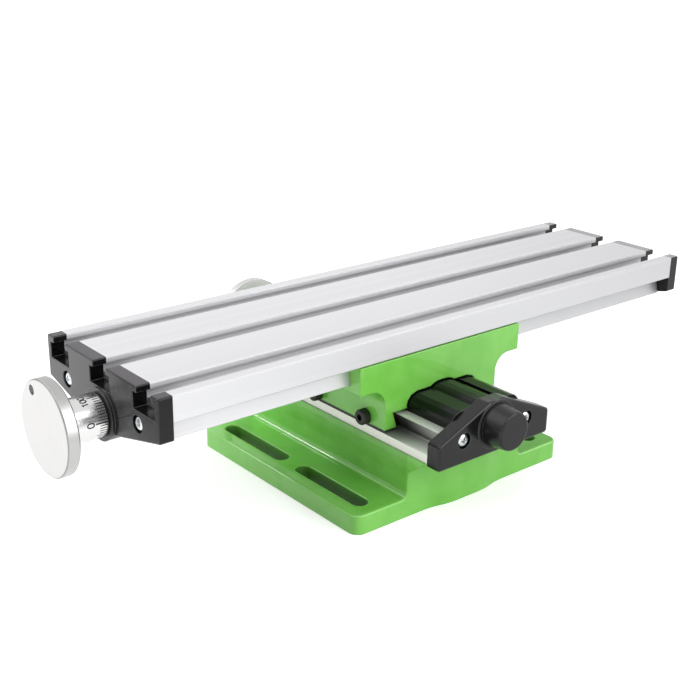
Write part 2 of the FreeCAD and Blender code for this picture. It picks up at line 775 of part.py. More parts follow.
def y_nut():
    ends = (y_nut_front_y, y_nut_front_y + y_nut_length)
    body = block((-y_nut_half_width, y_nut_neck_outer), ends, (y_nut_bottom_z, y_nut_top_z))
    neck = block((y_nut_neck_inner, y_nut_neck_outer), ends, (y_nut_top_z - overcut, y_nut_foot_z + overcut))
    foot = block((y_nut_foot_inner, y_nut_foot_outer), ends,
                 (y_nut_foot_z, y_nut_foot_z + y_nut_foot_thickness))
    nut = body.fuse(neck).fuse(foot).removeSplitter()
    nut = nut.cut(rod(screw_radius + running_gap, Vector(0, ends[0] - overcut, y_screw_z),
                      Vector(0, ends[1] + overcut, y_screw_z)))
    above = y_nut_foot_z + y_nut_foot_thickness + overcut
    for y in y_nut_screws():
        nut = nut.cut(rod(nut_screw_radius + drill_gap, Vector(y_nut_screw_x, y, y_nut_foot_z - overcut),
                          Vector(y_nut_screw_x, y, above)))
    return nut


def y_nut_screw(y):
    seat = Vector(y_nut_screw_x, y, y_nut_screw_seat_z())
    grip = seat.z - y_nut_foot_z - edge_clearance
    return cross_screw(seat, Vector(0, 0, -1), nut_screw_radius, grip, nut_screw_head_radius,
                       nut_screw_head_height)


def cut_t_slots(body, start, end):
    """Cuts the three T-slots, with a small broken edge at each neck, from start to end along X."""
    neck = slot_neck_width / 2
    wide = slot_wide_width / 2
    lip = table_top_z - slot_lip
    top = table_top_z
    for step in (-1, 0, 1):
        y = table_mid_y + step * slot_pitch
        half = [(wide, slot_floor_z), (wide, lip), (neck, lip), (neck, top - slot_neck_break),
                (neck + slot_neck_break, top), (neck + slot_neck_break, top + overcut)]
        outline = [(y + u, v) for u, v in half] + [(y - u, v) for u, v in reversed(half)]
        body = body.cut(along_x(outline, start, end))
    return body


def table_outline():
    half_width = table_width / 2
    half = [(table_channel_half_width, table_channel_top_z), (table_channel_half_width, table_dovetail_z),
            (table_dovetail_bottom, table_dovetail_z), (table_dovetail_top, skirt_z),
            (half_width, skirt_z), (half_width, table_top_z)]
    return [(table_mid_y + u, v) for u, v in mirrored(half)]


def x_cap_screw_points():
    return [table_mid_y - x_cap_screw_y, table_mid_y + x_cap_screw_y]


def x_table():
    table = along_x(table_outline(), table_left_x, table_right_x)
    outer = edges_where(table, lambda e: near(e.Length, table_length)
                        and near(abs(e.CenterOfMass.y - table_mid_y), table_width / 2))
    table = table.makeFillet(table_edge_radius, outer)
    table = cut_t_slots(table, table_left_x - overcut, table_right_x + overcut)
    z = table_top_z - x_cap_screw_drop
    for y in x_cap_screw_points():
        for end, inward in ((table_left_x, 1), (table_right_x, -1)):
            table = table.cut(rod(cap_screw_radius + drill_gap, Vector(end - inward * overcut, y, z),
                                  Vector(end + inward * (cap_screw_grip + overcut), y, z)))
    return table


def x_cap(inner_x, outward, has_boss):
    """Moulded end cap of the table; outward is -1 at the left and 1 at the right."""
    face_x = inner_x + outward * x_cap_thickness
    half_width = table_width / 2 - x_cap_inset
    side_z = table_top_z - x_cap_side_height
    angle = math.radians(x_cap_touch_angle)
    touch = (boss_radius * math.cos(angle), x_screw_z - boss_radius * math.sin(angle))
    half = [touch, (half_width, side_z), (half_width, table_top_z)]
    cap = along_x([(table_mid_y + u, v) for u, v in mirrored(half)], inner_x, face_x)
    corners = edges_where(cap, lambda e: near(e.CenterOfMass.x, (inner_x + face_x) / 2)
                          and near(abs(e.CenterOfMass.y - table_mid_y), half_width))
    cap = cap.makeFillet(x_cap_edge_radius, corners)
    rim = edges_where(cap, lambda e: lies_at(e, "x", face_x)
                      and e.CenterOfMass.z < table_top_z - x_cap_edge_radius)
    cap = cap.makeFillet(x_cap_edge_radius * cap_rim_share, rim)
    boss_x = face_x + outward * (boss_height if has_boss else -x_cap_boss_sink)
    boss = rod(boss_radius, Vector(inner_x, table_mid_y, x_screw_z), Vector(boss_x, table_mid_y, x_screw_z))
    cap = cap.fuse(boss).removeSplitter()
    cap = cut_t_slots(cap, min(inner_x, boss_x) - overcut, max(inner_x, boss_x) + overcut)
    z = table_top_z - x_cap_screw_drop
    for y in x_cap_screw_points():
        past = Vector(face_x + outward * overcut, y, z)
        hole = rod(cap_screw_radius + drill_gap, Vector(inner_x - outward * overcut, y, z), past)
        sunk = rod(cap_counterbore_radius, Vector(face_x - outward * cap_counterbore_depth, y, z), past)
        cap = cap.cut(hole).cut(sunk)
    return cap


def x_left_cap():
    through = x_cap_thickness + boss_height
    return x_cap(table_left_x, -1, True).cut(bush_bore(x_left_end, Vector(1, 0, 0), through))


def x_right_cap():
    cap = x_cap(table_right_x, 1, False)
    return cap.cut(bush_bore(x_right_end, Vector(-1, 0, 0), x_right_bush_depth))


def x_cap_screw(y, end, inward):
    seat_x = end - inward * (x_cap_thickness - cap_counterbore_depth)
    return cross_screw(Vector(seat_x, y, table_top_z - x_cap_screw_drop), Vector(inward, 0, 0),
                       cap_screw_radius, x_cap_thickness - cap_counterbore_depth + cap_screw_grip,
                       cap_screw_head_radius, cap_screw_head_height)


def leadscrew(near_cap, far_cap, near_depth):
    """Screw between two end caps with plain journals; near_cap is at the handwheel end."""
    axis = (far_cap - near_cap).normalize()
    body = rod(screw_radius, near_cap + axis * thread_start_gap, far_cap - axis * thread_end_gap)
    shaft = rod(journal_radius, near_cap - axis * near_depth, far_cap + axis * journal_far_length)
    return body.fuse(shaft).removeSplitter()


def handwheel(face, outward, up):
    """Turned disc with a tapped hole for a crank handle; face is its inner face on the axis."""
    wheel = rod(wheel_radius, face, face + outward * wheel_thickness)
    rims = edges_where(wheel, lambda e: e.Curve.TypeId == "Part::GeomCircle")
    wheel = wheel.makeChamfer(wheel_edge, rims)
    bore = rod(journal_radius + sleeve_gap, face - outward * overcut,
               face + outward * (wheel_thickness - wheel_bore_end_wall))
    angle = math.radians(handle_hole_angle)
    side = outward.cross(up)
    spot = face + (side * math.cos(angle) + up * math.sin(angle)) * handle_hole_circle
    hole = rod(handle_hole_radius, spot - outward * overcut, spot + outward * (wheel_thickness + overcut))
    return wheel.cut(bore).cut(hole)


def dial(start, outward):
    """Graduated sleeve between the cap's boss and the handwheel."""
    sleeve = rod(dial_radius, start, start + outward * dial_length)
    first = edges_where(sleeve, lambda e: e.Curve.TypeId == "Part::GeomCircle"
                        and near((e.Curve.Center - start).Length, 0))
    sleeve = sleeve.makeChamfer(dial_edge, first)
    bore = rod(journal_radius + sleeve_gap, start - outward * overcut,
               start + outward * (dial_length + overcut))
    middle = start + outward * grub_offset
    tapped = rod(grub_radius + drill_gap, middle, middle - Vector(0, 0, dial_radius + overcut))
    return sleeve.cut(bore).cut(tapped)


def dial_grub(start, outward):
    """Grub screw that clamps the dial on the screw's journal, from below."""
    middle = start + outward * grub_offset
    top = middle - Vector(0, 0, journal_radius + 2 * sleeve_gap)
    low = middle - Vector(0, 0, dial_radius - grub_sink)
    screw = rod(grub_radius, low, top)
    return screw.cut(hexagon(low, grub_hex, Vector(0, 0, 1), grub_hex_depth))


def thrust_ring(start, inward):
    """Ring on the journal that takes the screw's end thrust against the bush."""
    ring = rod(collar_radius, start, start + inward * collar_length)
    return ring.cut(rod(journal_radius + sleeve_gap, start - inward * overcut,
                        start + inward * (collar_length + overcut)))


def screw_set(prefix, inner_face, boss_face, far_cap, outward, up):
    """Leadscrew with its thrust rings, dial, grub screw and handwheel."""
    inward = outward * -1
    dial_start = boss_face + outward * dial_gap
    wheel_face = dial_start + outward * dial_length
    depth = (wheel_face - inner_face).Length + wheel_thickness - wheel_bore_end_wall
    keep(prefix + "_leadscrew", leadscrew(inner_face, far_cap, depth))
    keep(prefix + "_thrust_ring", thrust_ring(inner_face + inward * running_gap, inward))
    keep(prefix + "_dial", dial(dial_start, outward))
    keep(prefix + "_dial_grub", dial_grub(dial_start, outward))
    keep(prefix + "_handwheel", handwheel(wheel_face, outward, up))


keep("base_casting", base_casting())
keep("y_rail", y_rail())
for number, (x, y) in enumerate(rail_bolt_points(), 1):
    keep("rail_bolt_%d" % number, rail_bolt(x, y))
keep("y_screw_cover", y_screw_cover())
keep("y_front_cap", y_front_cap())
keep("y_front_plug", y_front_plug())
keep("y_back_cap", y_back_cap())
for label, end, inward in (("front", rail_front_y, 1), ("back", rail_back_y, -1)):
    for side, x in (("left", -y_cap_screw_x), ("right", y_cap_screw_x)):
        keep("y_%s_cap_screw_%s" % (label, side), y_cap_screw(x, end, inward))
keep("y_front_bush", bush(y_front_end, Vector(0, 1, 0), y_front_bush_depth))
keep("y_back_bush", bush(y_back_end, Vector(0, -1, 0), y_cap_thickness + boss_height))

keep("saddle_casting", saddle_casting())
keep("y_gib", y_gib())
for number, y in enumerate(gib_screw_rows(gib_screw_pitch, gib_screw_mid_y), 1):
    keep("y_gib_screw_%d" % number, y_gib_screw(y))
keep("x_gib", x_gib())
for number, x in enumerate(gib_screw_rows(x_gib_screw_pitch, 0.0), 1):
    keep("x_gib_screw_%d" % number, x_gib_screw(x))
keep("x_nut", x_nut())
keep("y_nut", y_nut())
for number, (x_screw_y, y_screw_y) in enumerate(zip(x_nut_screws(), y_nut_screws()), 1):
    keep("x_nut_screw_%d" % number, x_nut_screw(x_screw_y))
    keep("y_nut_screw_%d" % number, y_nut_screw(y_screw_y))

keep("x_table", x_table())
keep("x_left_cap", x_left_cap())
keep("x_right_cap", x_right_cap())
for label, end, inward in (("left", table_left_x, 1), ("right", table_right_x, -1)):
    for side, y in zip(("front", "back"), x_cap_screw_points()):
        keep("x_%s_cap_screw_%s" % (label, side), x_cap_screw(y, end, inward))
keep("x_left_bush", bush(x_left_end, Vector(1, 0, 0), x_cap_thickness + boss_height))
keep("x_right_bush", bush(x_right_end, Vector(-1, 0, 0), x_right_bush_depth))

screw_set("x", x_left_end, Vector(x_cap_face - boss_height, table_mid_y, x_screw_z), x_right_end,
          Vector(-1, 0, 0), Vector(0, 0, 1))
screw_set("y", y_back_end, Vector(0, y_cap_face + boss_height, y_screw_z), y_front_end,
          Vector(0, 1, 0), Vector(0, 0, 1))
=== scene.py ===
import bmesh
import bpy
import math
from mathutils import Matrix, Vector


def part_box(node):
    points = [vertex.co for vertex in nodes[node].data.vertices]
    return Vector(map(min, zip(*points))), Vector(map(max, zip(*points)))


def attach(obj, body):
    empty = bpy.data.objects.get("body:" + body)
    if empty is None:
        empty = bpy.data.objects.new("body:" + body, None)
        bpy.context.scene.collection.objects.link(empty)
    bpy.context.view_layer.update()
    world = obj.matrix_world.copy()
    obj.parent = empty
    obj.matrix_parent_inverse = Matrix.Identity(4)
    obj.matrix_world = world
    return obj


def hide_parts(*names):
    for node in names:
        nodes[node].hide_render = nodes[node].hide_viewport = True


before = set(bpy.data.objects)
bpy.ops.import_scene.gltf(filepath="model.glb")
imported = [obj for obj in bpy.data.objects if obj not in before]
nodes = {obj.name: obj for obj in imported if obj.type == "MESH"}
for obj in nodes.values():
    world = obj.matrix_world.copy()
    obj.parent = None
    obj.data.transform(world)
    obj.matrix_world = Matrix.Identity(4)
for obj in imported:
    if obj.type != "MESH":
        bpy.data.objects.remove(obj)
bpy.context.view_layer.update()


# The view. A long lens stands off the table's left front corner, a little above it, and is rolled by
# one degree. Place, aim and lens come from the photograph's own perspective.
camera_place = Vector((-0.34500, -0.38633, 0.24782))
camera_aim = Vector((0.01280, 0.03870, 0.03781))
camera_roll = math.radians(0.997)
lens_length = 59.74
sensor_width = 36.0
toward_lens = (camera_place - camera_aim).normalized()
level = Vector((0, 0, 1)).cross(toward_lens).normalized()
upright = toward_lens.cross(level)
view_right = level * math.cos(camera_roll) + upright * math.sin(camera_roll)
view_up = upright * math.cos(camera_roll) - level * math.sin(camera_roll)
camera_data = bpy.data.cameras.new("camera")
camera_data.sensor_width = sensor_width
camera_data.lens = lens_length
camera = bpy.data.objects.new("camera", camera_data)
camera.matrix_world = Matrix((view_right, view_up, toward_lens)).transposed().to_4x4()
camera.location = camera_place
bpy.context.scene.collection.objects.link(camera)
bpy.context.scene.camera = camera


# The studio: a white room with a pale floor, two broad soft lamps and two small ones that draw the
# bright lines along edges and fillets. Metal and plastic reflect the white room, the dark gap between
# its front screens and the paler board that lies on the left of the floor.
bpy.context.scene.view_settings.view_transform = "Standard"
white = (1, 1, 1, 1)
gap_colour = (0.03, 0.03, 0.03, 1)
gap_low, gap_middle, gap_high = 0.34, 0.43, 0.52
gap_from, gap_to, gap_share = -0.15, -0.45, 0.85
room_strength = 0.55
floor_half = 8.0
floor_colour = (0.82, 0.82, 0.82, 1)
floor_lift = 0.51
bare_glow, board_glow = 0.12, 0.62
bare_from, board_from = -0.02, -0.10


def soft_lamp(name, toward, strength, spread):
    """Distant lamp as wide as a softbox; toward points from the object to the lamp."""
    data = bpy.data.lights.new(name, "SUN")
    data.energy = strength
    data.angle = math.radians(spread)
    lamp = bpy.data.objects.new(name, data)
    lamp.rotation_mode = "QUATERNION"
    lamp.rotation_quaternion = Vector(toward).to_track_quat("Z", "Y")
    bpy.context.scene.collection.objects.link(lamp)


def place(tree, kind, inputs=None, **settings):
    """Adds a node to a tree; inputs hold values or sockets, by name or number."""
    node = tree.nodes.new(kind)
    for name, value in settings.items():
        setattr(node, name, value)
    for name, value in (inputs or {}).items():
        if isinstance(value, bpy.types.NodeSocket):
            tree.links.new(value, node.inputs[name])
        else:
            node.inputs[name].default_value = value
    return node


def calc(tree, operation, *values):
    """Result of a Math node over values or sockets."""
    return place(tree, "ShaderNodeMath", dict(enumerate(values)), operation=operation).outputs[0]


def span(tree, value, low, high, start=0.0, end=1.0):
    """Maps a value from start..end to low..high."""
    return place(tree, "ShaderNodeMapRange", {"Value": value, "From Min": start, "From Max": end,
                                              "To Min": low, "To Max": high}).outputs["Result"]


def ramp(tree, value, stops):
    """Grey value over stops of (position, grey), with positions from 0 to 1."""
    curve = place(tree, "ShaderNodeValToRGB", {"Fac": value})
    points = curve.color_ramp.elements
    for point, (position, grey) in zip(points, (stops[0], stops[-1])):
        point.position, point.color = position, (grey, grey, grey, 1)
    for position, grey in stops[1:-1]:
        points.new(position).color = (grey, grey, grey, 1)
    return curve.outputs["Color"]


def pick(tree, mask, outside, inside):
    """Colour that goes from outside to inside as the mask goes from 0 to 1."""
    return place(tree, "ShaderNodeMix", {"Factor": mask, "A": outside, "B": inside},
                 data_type="RGBA").outputs["Result"]


def axes(tree, vector):
    """The three parts of a vector."""
    parts = place(tree, "ShaderNodeSeparateXYZ", {"Vector": vector}).outputs
    return parts["X"], parts["Y"], parts["Z"]


soft_lamp("front_lamp", (0.42, -0.80, 0.42), 1.35, 50)
soft_lamp("high_lamp", (-0.45, 0.10, 0.88), 0.74, 60)
soft_lamp("back_edge_lamp", (-0.30, 0.70, 0.64), 0.34, 9)
soft_lamp("side_edge_lamp", (0.65, -0.35, 0.67), 0.16, 9)

room = bpy.data.worlds.new("room")
bpy.context.scene.world = room
room.use_nodes = True
tree = room.node_tree
tree.nodes.clear()
rays = place(tree, "ShaderNodeLightPath").outputs
toward = axes(tree, place(tree, "ShaderNodeTexCoord").outputs["Generated"])
gap_height = ramp(tree, toward[2], [(gap_low, 0), (gap_middle, 1), (gap_high, 0)])
gap_front = span(tree, toward[1], 0.0, gap_share, gap_from, gap_to)
gap = calc(tree, "MULTIPLY", calc(tree, "MULTIPLY", gap_height, gap_front), rays["Is Glossy Ray"])
seen = calc(tree, "MAXIMUM", rays["Is Camera Ray"], rays["Is Glossy Ray"])
seen = calc(tree, "MAXIMUM", seen, rays["Is Transmission Ray"])
room_light = place(tree, "ShaderNodeBackground", {"Color": white, "Strength": room_strength})
screens = pick(tree, gap, white, gap_colour)
room_white = place(tree, "ShaderNodeBackground", {"Color": screens, "Strength": 1.0})
both = place(tree, "ShaderNodeMixShader", {0: seen, 1: room_light.outputs[0], 2: room_white.outputs[0]})
place(tree, "ShaderNodeOutputWorld", {"Surface": both.outputs[0]})

floor_mesh = bpy.data.meshes.new("floor")
floor_mesh.from_pydata([(-floor_half, -floor_half, 0), (floor_half, -floor_half, 0),
                        (floor_half, floor_half, 0), (-floor_half, floor_half, 0)], [], [(0, 1, 2, 3)])
floor = bpy.data.objects.new("floor", floor_mesh)
bpy.context.scene.collection.objects.link(floor)
floor_paper = bpy.data.materials.new("floor paper")
floor_paper.use_nodes = True
tree = floor_paper.node_tree
tree.nodes.clear()
rays = place(tree, "ShaderNodeLightPath").outputs
paper = place(tree, "ShaderNodeBsdfDiffuse", {"Color": floor_colour})
sideways = axes(tree, place(tree, "ShaderNodeTexCoord").outputs["Object"])[0]
board = span(tree, sideways, bare_glow, board_glow, bare_from, board_from)
lift = calc(tree, "MULTIPLY", rays["Is Camera Ray"], floor_lift)
glow = place(tree, "ShaderNodeEmission",
             {"Strength": calc(tree, "MULTIPLY_ADD", rays["Is Glossy Ray"], board, lift)})
both = place(tree, "ShaderNodeAddShader", {0: paper.outputs[0], 1: glow.outputs[0]})
place(tree, "ShaderNodeOutputMaterial", {"Surface": both.outputs[0]})
floor_mesh.materials.append(floor_paper)


# The base: a cast block with two slotted flanges, a hollow underside and a corbel under each end of the
# rail. It is sprayed with satin green enamel, a little uneven over the casting; its edges and fillets
# carry painted highlights, and its colour carries painted light and shade by place.
green_deep = (0.180, 0.580, 0.070)
green_pale = (0.215, 0.635, 0.092)
# pale green of the painted highlights on edges and fillets
green_highlight = (0.46, 0.86, 0.33, 1)
enamel_coat, enamel_coat_rough, enamel_gloss = 0.8, 0.07, 0.35
enamel_rough = 0.34, 0.48
enamel_edge, enamel_relief = 0.0009, 0.00018
flange_half, flange_top = 0.059, 0.009
slot_line, slot_half, slots_reach = 0.0535, 0.0041, 0.0535
slot_edge, slot_edge_half = 0.04925, 0.00028
straight_middle, straight_half = 0.0285, 0.0195
seam_low, seam_high = 0.028, 0.030


def start_group(name, inputs, outputs):
    """New shader node group; inputs are (name, kind, value), outputs (name, kind)."""
    group = bpy.data.node_groups.new(name, "ShaderNodeTree")
    for label, kind, value in inputs:
        socket = group.interface.new_socket(label, in_out="INPUT", socket_type="NodeSocket" + kind)
        if value is not None:
            socket.default_value = value
    for label, kind in outputs:
        group.interface.new_socket(label, in_out="OUTPUT", socket_type="NodeSocket" + kind)
    return group, place(group, "NodeGroupInput").outputs, place(group, "NodeGroupOutput").inputs


def use_group(tree, group, inputs):
    """Places a group in a tree and gives its outputs."""
    return place(tree, "ShaderNodeGroup", inputs, node_tree=group).outputs


def vector_calc(tree, operation, *values):
    """Result of a Vector Math node over values or sockets."""
    made = place(tree, "ShaderNodeVectorMath", dict(enumerate(values)), operation=operation).outputs
    return made["Value" if operation in ("DOT_PRODUCT", "LENGTH") else "Vector"]


def noise(tree, vector, scale, detail, roughness=0.5, distortion=0.0):
    """Noise from 0 to 1 over a vector."""
    return place(tree, "ShaderNodeTexNoise", {
        "Vector": vector, "Scale": scale, "Detail": detail, "Roughness": roughness,
        "Distortion": distortion}).outputs["Fac"]


# broken edges: a rounded normal near each edge, and a mask of the edge itself
edge_begins, edge_full = 0.99, 0.80
broken_edges, given, made = start_group("broken edges", [("Radius", "Float", 0.0005)],
                                        [("Normal", "Vector"), ("Edge", "Float")])
rounded = place(broken_edges, "ShaderNodeBevel", {"Radius": given["Radius"]}, samples=6).outputs[0]
surface = place(broken_edges, "ShaderNodeNewGeometry").outputs["Normal"]
turned_away = vector_calc(broken_edges, "DOT_PRODUCT", rounded, surface)
broken_edges.links.new(rounded, made["Normal"])
broken_edges.links.new(span(broken_edges, turned_away, 0, 1, edge_begins, edge_full), made["Edge"])

# skin: fine and coarse unevenness of a painted or moulded face
skin, given, made = start_group("skin", [("Vector", "Vector", None), ("Fine", "Float", 900.0),
                                         ("Coarse", "Float", 60.0)],
                                [("Height", "Float"), ("Tone", "Float")])
fine = noise(skin, given["Vector"], given["Fine"], 3.0, 0.6)
coarse = noise(skin, given["Vector"], given["Coarse"], 4.0, 0.5, 0.4)
summed = place(skin, "ShaderNodeMix", {"Factor": 0.6, "A": fine, "B": coarse}, data_type="FLOAT")
skin.links.new(summed.outputs["Result"], made["Height"])
skin.links.new(coarse, made["Tone"])

# handling: smudges of hands and oil, with a few hair scratches in them
handling, given, made = start_group("handling", [("Vector", "Vector", None), ("Size", "Float", 30.0)],
                                    [("Marks", "Float")])
smudge = noise(handling, given["Vector"], given["Size"], 6.0, 0.65, 1.2)
hair_place = place(handling, "ShaderNodeMapping", {"Vector": given["Vector"], "Rotation": (0.4, 0.9, 0.7),
                                                   "Scale": (40, 900, 900)})
hair = noise(handling, hair_place.outputs[0], 1.0, 2.0)
smudge_soft = span(handling, smudge, 0, 1, 0.45, 0.75)
hair_thin = span(handling, hair, 0, 0.5, 0.70, 0.76)
handling.links.new(calc(handling, "MAXIMUM", smudge_soft, hair_thin), made["Marks"])


def new_finish(name, **constants):
    """Material with its shader's plain values; gives the material, its tree, shader and coordinates."""
    finish = bpy.data.materials.new(name)
    finish.use_nodes = True
    shader = finish.node_tree.nodes["Principled BSDF"]
    for label, value in constants.items():
        shader.inputs[label.replace("_", " ")].default_value = value
    spot = place(finish.node_tree, "ShaderNodeTexCoord").outputs["Object"]
    return finish, finish.node_tree, shader, spot


def dress(finish, *names):
    """Gives CAD nodes a finish."""
    for name in names:
        for slot in nodes[name].material_slots:
            slot.material = finish


def shade(tree, value, colour_a, colour_b):
    """Blends two colours of three numbers by a value."""
    return pick(tree, value, (*colour_a, 1), (*colour_b, 1))


def times(tree, a, b):
    """Two colours multiplied."""
    return place(tree, "ShaderNodeMix", {"Factor": 1.0, "A": a, "B": b}, data_type="RGBA",
                 blend_type="MULTIPLY").outputs["Result"]


def relief(tree, shader, height, depth, normal):
    """Bumps the shader's normal by a height, in metres."""
    bump = place(tree, "ShaderNodeBump", {"Height": height, "Distance": depth, "Normal": normal})
    tree.links.new(bump.outputs[0], shader.inputs["Normal"])


def near(tree, value, middle, half):
    """Mask of 1 where a value is within half of the middle, else 0."""
    return calc(tree, "COMPARE", value, middle, half)


def base_light_and_shade(tree, spot):
    """Painted light and shade of the base: painted light to the rear, painted shade down in the bolt slots
    and in the seam to the rail. Gives the shade, the coat, which the slots lack, and a painted highlight
    line on the slots' inner edges."""
    x, y, z = axes(tree, spot)
    aside = calc(tree, "ABSOLUTE", x)
    # painted light: darker just behind the front edge, lighter and lighter towards the rear
    along = ramp(tree, span(tree, y, 0, 1, -flange_half, flange_half), [
        (0.0, 1.0), (0.008, 1.0), (0.02, 0.84), (0.3, 0.90), (0.7, 1.22), (1.0, 1.35)])
    # painted shade in the seam where the base meets the rail
    seam = ramp(tree, span(tree, z, 0, 1, seam_low, seam_high), [
        (0.0, 1.0), (0.5, 1.0), (0.62, 0.3), (1.0, 0.3)])
    # painted shade down in the bolt slots
    deep = ramp(tree, span(tree, z, 0, 1, 0.0, flange_top), [
        (0.0, 0.35), (0.6, 0.35), (0.92, 0.55), (0.95, 1.0)])
    in_slot = calc(tree, "MULTIPLY", near(tree, aside, slot_line, slot_half), near(tree, y, 0.0, slots_reach))
    # painted highlight line on the flange's top along the slots' inner edges
    inner_edge = calc(tree, "MULTIPLY", near(tree, aside, slot_edge, slot_edge_half),
                      near(tree, calc(tree, "ABSOLUTE", y), straight_middle, straight_half))
    on_top = span(tree, z, 0, 1, flange_top - 0.0003, flange_top - 0.0001)
    shade_all = times(tree, times(tree, along, seam), pick(tree, in_slot, white, deep))
    return shade_all, span(tree, in_slot, enamel_coat, 0.0), calc(tree, "MULTIPLY", inner_edge, on_top)


def enamel(name, light_and_shade):
    """Satin green paint with pale painted highlights on edges and fillets; the last argument gives the
    painted light and shade, the coat and painted highlight lines.
    """
    finish, tree, shader, spot = new_finish(name, Coat_Weight=enamel_coat, Coat_Roughness=enamel_coat_rough,
                                            Specular_IOR_Level=enamel_gloss)
    edges = use_group(tree, broken_edges, {"Radius": enamel_edge})
    grain = use_group(tree, skin, {"Vector": spot, "Fine": 1100.0, "Coarse": 70.0})
    wear = use_group(tree, handling, {"Vector": spot, "Size": 45.0})
    tone = shade(tree, span(tree, grain["Tone"], 0, 1, 0.35, 0.65), green_deep, green_pale)
    shade_by_place, coat, painted_highlight = light_and_shade(tree, spot)
    if coat:
        tree.links.new(coat, shader.inputs["Coat Weight"])
    # painted highlights: a pale line along the middle of every fillet and pale edges on upward faces
    slope = axes(tree, edges["Normal"])[2]
    fillet_highlight = ramp(tree, slope, [(0.0, 0.0), (0.60, 0.0), (0.69, 0.7), (0.76, 0.7), (0.86, 0.0), (1.0, 0.0)])
    upward_highlight = ramp(tree, slope, [(0.0, 0.0), (0.3, 0.0), (0.5, 0.9), (0.97, 0.9), (1.0, 0.0)])
    edge_lighting_and_wear = calc(tree, "MAXIMUM", fillet_highlight, times(tree, upward_highlight, edges["Edge"]))
    # painted highlight lines from the last argument
    if painted_highlight:
        edge_lighting_and_wear = calc(tree, "MAXIMUM", edge_lighting_and_wear, painted_highlight)
    tone = times(tree, tone, shade_by_place)
    tree.links.new(pick(tree, edge_lighting_and_wear, tone, green_highlight), shader.inputs["Base Color"])
    tree.links.new(span(tree, wear["Marks"], *enamel_rough), shader.inputs["Roughness"])
    relief(tree, shader, grain["Height"], enamel_relief, edges["Normal"])
    return finish


dress(enamel("base enamel", base_light_and_shade), "base_casting")


# The lower rail: an aluminium extrusion with a dovetail, screwed to the base from below. Its faces
# carry the fine lines of the die along its length and a clear satin anodising.
rail_low, rail_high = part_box("y_rail")
rail_front, rail_side, rail_top = rail_low[1], rail_high[0], rail_high[2]
dovetail_height, dovetail_foot = 0.0069, 0.0225
rail_flange = rail_top - dovetail_height
# the rail's painted shade grows from its front end back to here
shade_end = -0.030
rail_tones = (0.80, 0.80, 0.775), (0.86, 0.86, 0.835)
rail_stretch = (2500, 12, 2500)
# painted light on the rail's outer side face
rail_side_light = (1.19, 1.16, 1.15, 1)
extrusion_metal, extrusion_gloss = 0.55, 0.4
extrusion_rough, extrusion_smudge = (0.42, 0.56), (0.0, 0.07)
extrusion_edge, extrusion_relief = 0.0003, 0.00004

# drawn lines: the fine and the wide streaks that a die leaves along an extrusion
drawn_lines, given, made = start_group("drawn lines", [("Vector", "Vector", None),
                                                       ("Stretch", "Vector", None)],
                                       [("Lines", "Float"), ("Band", "Float")])
stretched = vector_calc(drawn_lines, "MULTIPLY", given["Vector"], given["Stretch"])
wide_place = vector_calc(drawn_lines, "MULTIPLY", stretched, (0.11, 0.11, 0.11))
drawn_lines.links.new(noise(drawn_lines, stretched, 1.0, 5.0, 0.7), made["Lines"])
drawn_lines.links.new(noise(drawn_lines, wide_place, 1.0, 2.0), made["Band"])


def rail_light_and_shade(tree, spot):
    """Painted light and shade on the rail: painted shade on the flange's top beside the dovetail, and on
    flange and dovetail darker towards the saddle; a painted highlight line near the dovetail's foot;
    painted light on the outer side face.
    """
    x, y, z = axes(tree, spot)
    # painted shade on the flange's top beside the dovetail, with a painted highlight line near its foot
    across = ramp(tree, span(tree, calc(tree, "ABSOLUTE", x), 0, 1, dovetail_foot, rail_side), [
        (0.0, 0.45), (0.14, 0.5), (0.19, 1.3), (0.24, 0.6), (0.45, 0.75), (1.0, 1.05)])
    rearward = span(tree, y, 0, 1, rail_front, shade_end)
    # painted shade growing towards the saddle, on the flange and on the dovetail
    flange_shade = ramp(tree, rearward, [(0.0, 0.95), (0.35, 0.6), (0.55, 0.34), (0.68, 0.2), (1.0, 0.2)])
    flank_shade = ramp(tree, rearward, [(0.0, 0.9), (0.3, 0.62), (0.5, 0.3), (0.62, 0.12), (1.0, 0.1)])
    on_flange = calc(tree, "MULTIPLY", span(tree, z, 1, 0, rail_flange + 0.0002, rail_flange + 0.0006),
                     span(tree, z, 0, 1, rail_flange - 0.0004, rail_flange - 0.0001))
    above = pick(tree, span(tree, z, 0, 1, rail_top - 0.0006, rail_top - 0.0004), flank_shade, white)
    under_flange = span(tree, z, 1, 0, rail_flange - 0.0005, rail_flange - 0.0003)
    side = pick(tree, under_flange, above, rail_side_light)
    return pick(tree, on_flange, side, times(tree, across, flange_shade))


def extruded_alloy(name, stretch, tone_low, tone_high, light_and_shade):
    """Matt anodised extrusion whose die lines follow the axis with the small stretch."""
    finish, tree, shader, spot = new_finish(name, Metallic=extrusion_metal,
                                            Specular_IOR_Level=extrusion_gloss)
    edges = use_group(tree, broken_edges, {"Radius": extrusion_edge})
    drawn = use_group(tree, drawn_lines, {"Vector": spot, "Stretch": stretch})
    wear = use_group(tree, handling, {"Vector": spot, "Size": 22.0})
    tone = shade(tree, span(tree, drawn["Band"], 0, 1, 0.35, 0.65), tone_low, tone_high)
    # the colour is multiplied by the part's painted light and shade
    tree.links.new(times(tree, tone, light_and_shade(tree, spot)), shader.inputs["Base Color"])
    rough = calc(tree, "ADD", span(tree, drawn["Lines"], *extrusion_rough, 0.3, 0.7),
                 span(tree, wear["Marks"], *extrusion_smudge))
    tree.links.new(rough, shader.inputs["Roughness"])
    relief(tree, shader, drawn["Lines"], extrusion_relief, edges["Normal"])
    return finish


dress(extruded_alloy("rail alloy", rail_stretch, *rail_tones, rail_light_and_shade), "y_rail")


